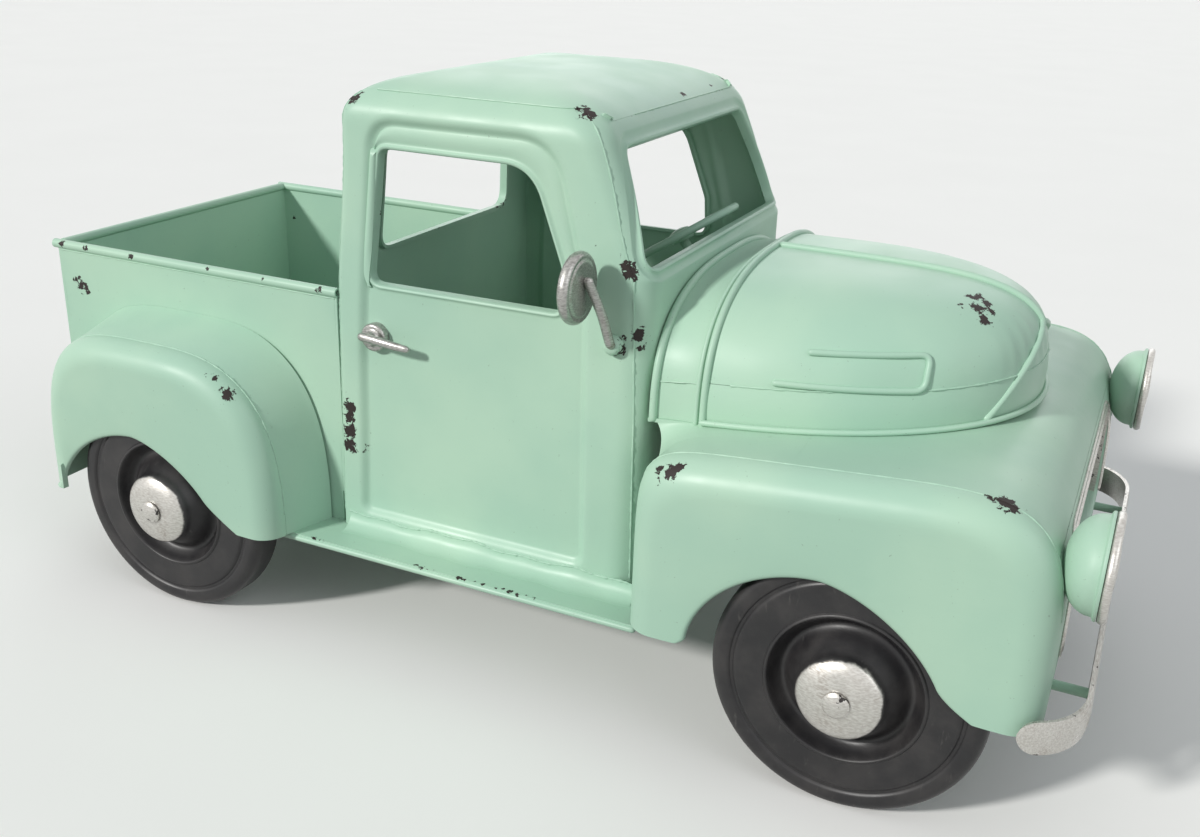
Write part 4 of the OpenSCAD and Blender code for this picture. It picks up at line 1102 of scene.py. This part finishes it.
def bumper():
    """Bumper strip: a band of crowned section along a path that turns back in an ellipse at each end, its tips
    narrowed to round spoons."""
    a = np.radians(np.linspace(0, 90, 60))
    half = np.stack([BUMPER_X - 18 * (1 - np.cos(a)), FACE_Y - 20 + 23 * np.sin(a)], -1)
    straight = np.linspace((BUMPER_X, 0), (BUMPER_X, FACE_Y - 20), 60)[:-1]
    one = np.concatenate([straight, half])
    path = spaced(np.concatenate([(one * (1, -1))[:0:-1], one]), 330)
    d = np.gradient(path, axis=0)
    d /= np.linalg.norm(d, axis=1, keepdims=True)
    out = np.stack([d[:, 1], -d[:, 0]], -1)
    run = run_along(path)
    end = np.minimum(run, run[-1] - run)
    tall = 5.5 * np.sqrt(np.clip(1 - np.clip(1 - end / 7.0, 0, 1) ** 2.2, 0.02, 1))
    rows = []
    for k in np.linspace(-1, 1, 17):
        crown = 0.55 * k * k
        flat = path - out * crown * (tall / 5.5)[:, None]
        rows.append(np.column_stack([flat, 47.5 + k * tall + 0.15 * np.sin(run / 23)]))
    return [sheet(np.array(rows), t=1.3, toward=(200, 0, 47.5), edges="rc")]


def headlight_bowl():
    """Round bowl, its outline a quarter ellipse, with a turned-out flange and a hollow inside."""
    r = LAMP_R - 1.4
    t = np.radians(np.linspace(1, 82, 34))
    curve = [(r * math.sin(a), 10 - 10 * math.cos(a) ** 0.92) for a in t]
    inside = [((r - 1) * math.sin(a), 10 - 9 * math.cos(a)) for a in t[::-1]]
    flange = [(r, 10), (r + 0.5, 10.2), (LAMP_R - 0.4, 10.5), (LAMP_R - 0.3, 11), (LAMP_R - 0.4, 11.35), (r - 1, 11.4)]
    profile = np.array([(0.01, 0)] + curve + flange + inside + [(0.01, 1)])
    near = np.abs(profile[:, 1] - 11.6) * 0.55
    return [lathe(profile, (LAMP_X, -LAMP_Y, LAMP_Z), (1, 0, 0), 96, rim=near)]


def headlight_face():
    """Bright rim with a rolled edge and a shallow lens pressed with rings."""
    r = LAMP_R
    bead = [(r - 1.1 + 1.1 * math.cos(a), 12.7 + 1.25 * math.sin(a)) for a in np.radians(np.linspace(-75, 150, 24))]
    lens = [(k, 13.1 + 1.35 * (1 - (k / (r - 2.6)) ** 2) + 0.08 * math.cos(k * 2.4))
            for k in np.linspace(r - 2.6, 0.01, 60)]
    profile = np.array([(0.01, 11.45), (r - 2, 11.45)] + bead + lens)
    return [lathe(profile, (LAMP_X, -LAMP_Y, LAMP_Z), (1, 0, 0), 96)]


# ---- Mirrors, handles and steering ----

def mirror_head():
    """Round head with a rolled rim and a domed back."""
    r, t = 11.6, 4.4
    edge = [(r - 1.5 + 1.5 * math.cos(a), t / 2 + 1.9 * math.sin(a)) for a in np.radians(np.linspace(-80, 80, 22))]
    back = [(k, 0.35 - 0.3 * (k / r) ** 2 + 0.35 * ramp(k, 8, 10.2)) for k in np.linspace(0.01, r - 1.9, 30)]
    front = [(k, t - 0.1 - 0.4 * ramp(k, 8.2, 9.6) * (1 - ramp(k, 9.6, 10.4))) for k in np.linspace(r - 1.7, 0.01, 30)]
    return [lathe(np.array(back + edge + front), (CAB_FRONT - 19 - t / 2, -CAB_Y - 11, 150), (1, 0, 0), 80)]


def mirror_arm():
    """Flat-sided rod from a boss on the pillar, bent up to the back of the head."""
    foot_z = 129.0
    foot = np.array([CAB_FRONT - 11.5, TUMBLE * (foot_z - BOARD_Z) - CAB_Y - 0.05, foot_z])
    top = np.array([CAB_FRONT - 19 + 3.3, -CAB_Y - 10.2, 152.5])
    bends = [foot + (0, -1.6, 0), foot + (0.2, -4.2, 1.2), mix(foot, top, 0.5) + (1.0, -1.6, 0), top]
    bar = rod(spaced(softened(bends, 8, 12), 60), 1.35, 14, flat=1.25)
    boss = lathe(np.array([(0.01, 3.9), (1.4, 3.8), (2.5, 3.2), (3.0, 2.2), (3.35, 0.9), (3.4, 0.02), (0.01, 0.02)]),
                 foot, (0, -1, 0), 48)
    boss["mat"] = 1
    return [bar, boss]


def door_handle():
    """Lever on a round rose with a stepped edge."""
    z = 116.0
    y = CAB_Y - TUMBLE * (z - BOARD_Z) + 0.13
    steps = [(0.01, DOOR_DEEP - 0.6), (5, DOOR_DEEP - 0.6), (5.15, 0.4), (4.8, 1.1), (4.2, 1.35), (3.6, 1.2),
             (2.9, 1.5), (2.4, 2.4), (2.2, 4.2), (1.4, 4.6), (0.01, 4.7)]
    rose = lathe(steps, (79.6, -y, z), (0, -1, 0), 56)
    bends = [(77.4, -y - 4.5, z + 1.0), (83, -y - 4.9, z + 0.8), (90, -y - 4.9, z + 0.1), (95.8, -y - 4.4, z - 0.5)]
    lever = spaced(softened(bends, 4, 8), 40)
    k = np.linspace(0, 1, 40)
    return [rose, rod(lever, 1.55 + 0.25 * np.sin(np.pi * k) - 0.25 * k, 16, flat=0.85)]


def steering_wheel():
    """Ring of round wire with three spokes and a hub, built square to its column."""
    at = JOINT_AT["steering_spin"] - (AXLE_X, 0, 0)
    axis = np.array(next(j for j in frame["joints"] if j["name"] == "steering_spin")["axis"], float)
    axis /= np.linalg.norm(axis)
    u = np.array((0, 1.0, 0))
    w = np.cross(axis, u)
    t = np.linspace(0, 2 * np.pi, 120, endpoint=False)
    radial = np.cos(t)[:, None] * u + np.sin(t)[:, None] * w
    ring = at + 23.5 * radial
    s = np.linspace(0, 2 * np.pi, 16, endpoint=False)
    p = ring[:, None] + 1.5 * (np.cos(s)[None, :, None] * radial[:, None] + np.sin(s)[None, :, None] * axis)
    v = p.reshape(-1, 3)
    idx = np.arange(len(v)).reshape(p.shape[:2])
    f = np.stack([idx, np.roll(idx, -1, 1), np.roll(np.roll(idx, -1, 0), -1, 1), np.roll(idx, -1, 0)], -1).reshape(-1, 4)
    parts = [solid(v, f, rim=np.full(len(v), FAR))]
    for a in np.radians((90, 210, 330)):
        d = math.cos(a) * u + math.sin(a) * w
        parts.append(rod(spaced([at + 3 * d, at + 23 * d], 20), np.linspace(1.5, 1.15, 20), 12))
    hub = [(0.01, -2.4), (4.4, -2.4), (4.9, -1.4), (4.9, 0.6), (3.8, 2.0), (1.6, 2.6), (0.01, 2.7)]
    return parts + [lathe(hub, at, axis, 48)]


# ---- Wheels ----

OFF_HUB = 60.0  # distance given to points that lie outside the painted hub


def arc_points(cx, cy, r, a0, a1, count):
    """Points of an arc between two angles in degrees."""
    a = np.radians(np.linspace(a0, a1, count))
    return np.stack([cx + r * np.cos(a), cy + r * np.sin(a)], -1)


def smooth_through(points, per=6):
    """Catmull-Rom curve through a run of points."""
    p = np.asarray(points, float)
    q = np.concatenate([2 * p[:1] - p[1:2], p, 2 * p[-1:] - p[-2:-1]])
    k = np.linspace(0, 1, per, endpoint=False)[:, None]
    out = []
    for a, b, c, d in zip(q[:-3], q[1:-2], q[2:-1], q[3:]):
        out.append(0.5 * (2 * b + (c - a) * k + (2 * a - 5 * b + 4 * c - d) * k ** 2
                          + (3 * b - 3 * c + d - a) * k ** 3))
    return np.concatenate(out + [p[-1:]])


def wheel(x, side):
    """Both pressings of a wheel turned about its axle: the face with its tyre, groove, flat ring, dished web and
    hub dome, the back with the other half of the tyre and a plain disc."""
    h, rr = 7.0, 3.5
    top = h + 8.8
    web = smooth_through([(25.6, h), (25, h + 0.6), (24.2, h + 0.4), (22.5, h - 2.5), (20.5, h - 4.4),
                          (18.6, h - 3.6), (16.4, h - 0.5), (14.4, h + 3), (13.2, top - 2.8), (10.5, top - 1.2),
                          (7, top - 0.4), (2.7, top)])
    under = smooth_through([(2.7, top - 1.2), (6.8, top - 1.6), (9.9, top - 2.3), (12.2, top - 3.6), (13.3, h + 2.6),
                            (15.3, h - 1), (17.9, h - 4.7), (20, h - 5.6), (21.3, h - 5.5), (23.5, h - 3.4),
                            (25.4, h - 1.2)])
    r = WHEEL_R
    ring = [(r - 5.4, h), (r - 6.0, h - 0.15), (r - 6.5, h - 0.75), (r - 7.4, h - 0.78), (r - 8.0, h - 0.15),
            (r - 8.6, h)]
    outer = [[(r, 0.01)], arc_points(r - rr, h - rr, rr, 0, 90, 16), ring, np.linspace((r - 9.5, h), (27, h), 8), web]
    inner = [under, arc_points(r - rr, h - rr, rr - 1.2, 90, 0, 12), [(r - 1.2, 0.01)]]
    face = np.concatenate(outer + inner)
    back = np.concatenate([[(r - 1.2, -0.01)], arc_points(r - rr, rr - h, rr - 1.2, 0, -90, 12),
                           [(2.7, 1.2 - h), (2.7, -h)], np.linspace((12, -h), (r - 5, -h), 12),
                           arc_points(r - rr, rr - h, rr, -90, 0, 16), [(r, -0.01)]])
    at, axis = (x, side * WHEEL_Y, WHEEL_R), (0, side, 0)
    hub = np.where(face[:, 1] > 5, face[:, 0], OFF_HUB)
    hub[-sum(len(p) for p in inner):] = OFF_HUB
    return [lathe(face, at, axis, 144, hub=hub), lathe(back, at, axis, 144, hub=np.full(len(back), OFF_HUB))]


# ---- Plain materials for the frame's own parts ----

def steel_green(name):
    """Thin green enamel over steel on hidden brackets: duller than the skins, with rubbed spots and dust."""
    n = Nodes(name)
    at = n.where()
    cloud = n.noise(at, 30, 5, 0.6)
    colour = n.blend(n.step(cloud, 0.3, 0.7), srgb(150, 184, 163), srgb(126, 158, 141))
    rub = n.step(n.noise(at, 170, 5, 0.65, 0.5), 0.66, 0.7)
    n.look("Base Color", n.blend(rub, colour, srgb(58, 50, 46)))
    n.look("Roughness", n.step(cloud, 0.3, 0.7, 0.45, 0.62))
    n.bump(n.noise(at, 400, 4), 0.00012, 0.7)
    return n.mat


def dark_steel(name):
    """Oily dark steel of bushes: fine turning marks, and a mottled sheen painted into the base colour as lighter and
    darker patches.
    """
    n = Nodes(name)
    at = n.where()
    mark = n.noise(n.where((1, 6, 1)), 500, 3)
    painted_sheen = n.step(n.noise(at, 120, 4), 0.4, 0.6)
    # Painted sheen: lighter and darker patches in the base colour.
    n.look("Base Color", n.blend(painted_sheen, srgb(92, 90, 88), srgb(60, 57, 55)))
    n.look("Roughness", n.step(mark, 0.3, 0.7, 0.3, 0.5))
    n.bump(mark, 0.00008, 0.6)
    n.look("Metallic", 0.8)
    return n.mat


STEEL = steel_green("bracket_enamel")
BUSH = dark_steel("bush_steel")

KEPT = {
    # These parts get the enamel darkened as painted shade.
    MINT_SHADED_PLAIN: ("bed_floor", "floor_pan", "steering_column", "column_bracket", "bumper_brackets"),
    STEEL: ("frame_rail_right", "frame_rail_left", "front_axle_bracket", "rear_axle_bracket"),
    SILVER: ("grille_bars", "grille_trim", "front_axle", "rear_axle"),
    BUSH: tuple("hub_bush_" + w for w in ("front_right", "front_left", "rear_right", "rear_left")),
}
for finish, names in KEPT.items():
    for name in names:
        slots = frame["nodes"][name].data.materials
        slots.clear()
        slots.append(finish)

# ---- Build ----

# Places where the paint is knocked off, each as a point in millimetres and a radius.
CHIPS = [
    (-63, -70, 116, 2.4), (-60, -70, 114, 4.2), (-57, -70, 112, 1.8), (-61, -70, 118, 1.4),
    (-67, -71, 130, 2.6), (-55, -71, 130, 2.2), (-31, -71, 130, 2.2), (6, -71, 131, 2.0), (32, -71, 131, 1.8),
    (57, -71, 130, 2.2), (-72, 0, 132, 3.0), (-72, -30, 131, 2.0), (-72, 44, 131, 2.2),
    (24, -94, 97, 3.4), (27, -94, 98, 2.4), (31, -95, 95, 2.4), (33, -95, 93, 3.4), (31, -96, 88, 3.0),
    (35, -94, 96, 1.8), (29, -95, 91, 1.6),
    (71, -66, 198, 4.0), (73, -64, 200, 2.6),
    (68, -71, 88, 4.6), (68, -70, 83, 3.6), (68, -71, 78, 4.2), (68, -71, 72, 5.0), (76, -72, 88, 3.2),
    (77, -72, 78, 4.0), (75, -72, 72, 3.4),
    (154, -60, 202, 4.0), (156, -60, 199, 5.0), (158, -60, 196, 2.8), (160, 10, 199, 2.6), (160, 18, 196, 2.0),
    (160, 40, 200, 2.0),
    (176, -69, 154, 5.0), (174, -70, 128, 4.4), (180, -68, 133, 4.0), (181, -68, 129, 3.0), (175, -70, 132, 1.8),
    (164, -68, 160, 1.6),
    (274, -19, 148, 3.0), (276, -17, 148, 3.4), (279, -19, 147, 3.0), (277, -24, 146, 3.8), (281, -22, 145, 2.8),
    (280, -28, 144, 3.2), (282, -27, 142, 1.8), (272, -26, 147, 1.8),
    (204.4, -96.4, 102, 4.4), (200.2, -95, 101.4, 3.2), (206.4, -96, 103.4, 2.8), (200.8, -97.4, 99, 2.0),
    (208.6, -95, 104.8, 1.5), (209, -97, 102, 0.9),
    (301, -90, 112, 5.6), (302, -91, 110, 3.4), (304, -91, 107, 2.0), (294, -88, 115, 2.4), (296, -88, 116, 1.8),
    (298, -88, 115, 1.8), (295, -90, 112, 1.6), (300, -92, 106, 2.0),
    *[(x, -86.9 - 0.4 * (i % 3), 39.9, r) for i, (x, r) in enumerate((
        (106, 1.3), (108.5, 1.7), (111, 1.2), (113.6, 0.9), (124, 1.5), (126.5, 1.2), (130.5, 0.9), (134, 1.3),
        (139, 1.6), (141.6, 1.3), (144.4, 1.7), (147.6, 1.4), (151, 0.9), (153.6, 1.2)))],
    *[(163.6, y, 197.6, r) for y, r in (
        (-50, 0.9), (-44, 1.0), (-35, 0.7), (-21, 1.0), (-15, 0.9), (-2, 0.8), (12, 1.0), (31, 0.8), (44, 0.9))],
    (-64, 70, 115, 3.0), (30, 94, 94, 3.6), (200, 86, 103, 3.2), (303, 90, 108, 4.0), (70, 71, 80, 3.4),
    (157, 60, 199, 3.6), (-72, 60, 60, 2.6), (66, 40, 182, 2.6), (120, 88, 39, 3.2), (134, 88, 39, 2.6),
]


def pressing(name, parts, *nodes):
    """A green piece fixed to the chassis, which stands for the given CAD nodes."""
    piece(name, parts, [MINT], "chassis", nodes)


def both_sides(name, parts, materials=(MINT,)):
    """A right-hand piece and its mirror image on the left, each standing for its own CAD node."""
    for side, solids in (("_right", parts), ("_left", mirrored(parts))):
        piece(name + "_skin" + side, solids, materials, "chassis", [name + side])


both_sides("rear_fender", rear_fender())
both_sides("rear_arch", rear_arch())
both_sides("front_fender", front_fender())
pressing("hood_pressing", hood() + hood_beads(), "hood_top", "hood_skirt")
pressing("cowl_pressing", cowl(), "cowl")
x = np.linspace(HOOD_BACK + 2, HOOD_NOSE - 3.4, 90)
pressing("hood_bead", [rod(on_hood(x, 0 * x + 1e-6, 0.25), 1.35, 12)], "hood_centre_bead")
both_sides("cab_side", cab_side())
screen = [(-65.2, 153.9, 4), (65.2, 153.9, 4), (54.8, 189.3, 5), (-54.8, 189.3, 5)]
pressing("cab_front_skin", cab_end(True, screen, -0.8) + cab_welds(True), "cab_front_panel")
window = [(-46.9, 141.5, 6), (46.9, 141.5, 6), (43.9, 181, 8), (-43.9, 181, 8)]
pressing("cab_back_skin", cab_end(False, window, 0.0) + cab_welds(False), "cab_back_panel")
pressing("cab_roof_skin", cab_roof(), "cab_roof")
both_sides("bed_side", bed_side())
bed_front = flat_end(BED_FRONT, BED_FLOOR - 1.2, RIM_Z - 3.6, BED_Y - 0.05, 1)
pressing("bed_front_skin", [bed_front], "bed_front_panel")
pressing("tailgate_skin", tailgate(), "tailgate")
both_sides("running_board", running_board())
pressing("nose_skin", nose_panel(), "nose_panel")
pressing("grille_surround", grille_panel(), "grille_panel")
piece("grille_edging", grille_edge(), [SILVER_LONG], "chassis", [])
piece("bumper_strip", bumper(), [SILVER_LONG], "chassis", ["bumper"])
both_sides("headlight_bowl", headlight_bowl())
both_sides("headlight_face", headlight_face(), [SILVER])
both_sides("mirror_head", mirror_head(), [SILVER_WORN])
both_sides("mirror_arm", mirror_arm(), [SILVER_WORN, MINT])
both_sides("door_handle", door_handle(), [SILVER_WORN])
piece("steering_ring", steering_wheel(), [MINT], "steering", ["steering_wheel"])
for end, x in (("front", WHEELBASE), ("rear", 0)):
    for hand, side in (("right", -1), ("left", 1)):
        name = end + "_" + hand
        nodes = ["wheel_face_" + name, "wheel_back_" + name]
        piece("wheel_pressing_" + name, wheel(x, side), [BLACK], "wheel_" + name, nodes)

# ---- Stage, light and camera ----

def seen_directly(tree):
    """1 for rays from the eye, a mirror or clear glass, and 0 for light that bounces on."""
    path = tree.nodes.new("ShaderNodeLightPath")
    total = path.outputs["Is Camera Ray"]
    for key in ("Is Glossy Ray", "Is Transmission Ray"):
        node = tree.nodes.new("ShaderNodeMath")
        node.operation = "MAXIMUM"
        tree.links.new(total, node.inputs[0])
        tree.links.new(path.outputs[key], node.inputs[1])
        total = node.outputs[0]
    return total


def floor_paint():
    """Plain pale floor with a barely visible grain, which throws back less light than it shows."""
    n = Nodes("studio_floor")
    at = n.where()
    pale = n.blend(n.noise(at, 8, 3), srgb(246, 246, 244), srgb(250, 250, 248))
    n.look("Base Color", n.blend(seen_directly(n.tree), srgb(150, 150, 146), pale))
    n.look("Roughness", 0.85)
    n.look("Specular IOR Level", 0.2)
    return n.mat


bpy.ops.mesh.primitive_plane_add(size=60)
floor = bpy.context.object
floor.name = "studio_floor"
floor.data.materials.append(floor_paint())

world = bpy.data.worlds.new("studio")
bpy.context.scene.world = world
world.use_nodes = True
tree = world.node_tree
soft = tree.nodes["Background"]
soft.inputs["Color"].default_value = (0.93, 0.97, 1.0, 1)
soft.inputs["Strength"].default_value = 0.36
white = tree.nodes.new("ShaderNodeBackground")
white.inputs["Color"].default_value = (1, 1, 1, 1)
white.inputs["Strength"].default_value = 1.0
pick = tree.nodes.new("ShaderNodeMixShader")
tree.links.new(seen_directly(tree), pick.inputs[0])
tree.links.new(soft.outputs[0], pick.inputs[1])
tree.links.new(white.outputs[0], pick.inputs[2])
tree.links.new(pick.outputs[0], tree.nodes["World Output"].inputs["Surface"])


def sun(name, toward, spread, strength, colour=(1, 1, 1)):
    """Even light from a direction, its shadows softened by a spread in degrees."""
    data = bpy.data.lights.new(name, "SUN")
    data.angle, data.energy, data.color = math.radians(spread), strength, colour
    obj = bpy.data.objects.new(name, data)
    bpy.context.scene.collection.objects.link(obj)
    obj.location = Vector(toward)
    obj.rotation_mode = "QUATERNION"
    obj.rotation_quaternion = Vector(toward).to_track_quat("Z", "Y")


sun("key_light", (-1.0, -1.7, 1.1), 6, 2.6, (1.0, 0.985, 0.955))
sun("front_fill", (1.8, -0.5, 1.2), 45, 0.55, (0.95, 0.975, 1.0))
sun("back_fill", (-0.5, 1.8, 0.7), 50, 0.5, (0.95, 0.975, 1.0))

camera = bpy.data.cameras.new("camera")
camera.sensor_width = 36
camera.lens = 37.24
camera.clip_start, camera.clip_end = 0.02, 30
eye = bpy.data.objects.new("camera", camera)
bpy.context.scene.collection.objects.link(eye)
yaw, pitch, roll = math.radians(24.44), math.radians(21.83), math.radians(2.061)
ahead = Vector((-math.sin(yaw) * math.cos(pitch), math.cos(yaw) * math.cos(pitch), -math.sin(pitch)))
right = Vector((math.cos(yaw), math.sin(yaw), 0))
up = right.cross(ahead)
turned_right = math.cos(roll) * right + math.sin(roll) * up
turned_up = math.cos(roll) * up - math.sin(roll) * right
eye.rotation_mode = "QUATERNION"
eye.rotation_quaternion = Matrix((turned_right, turned_up, -ahead)).transposed().to_quaternion()
eye.location = placed((326.0, -416.7, 255.4))
bpy.context.scene.camera = eye
bpy.context.scene.view_settings.view_transform = "Standard"

bpy.context.view_layer.update()
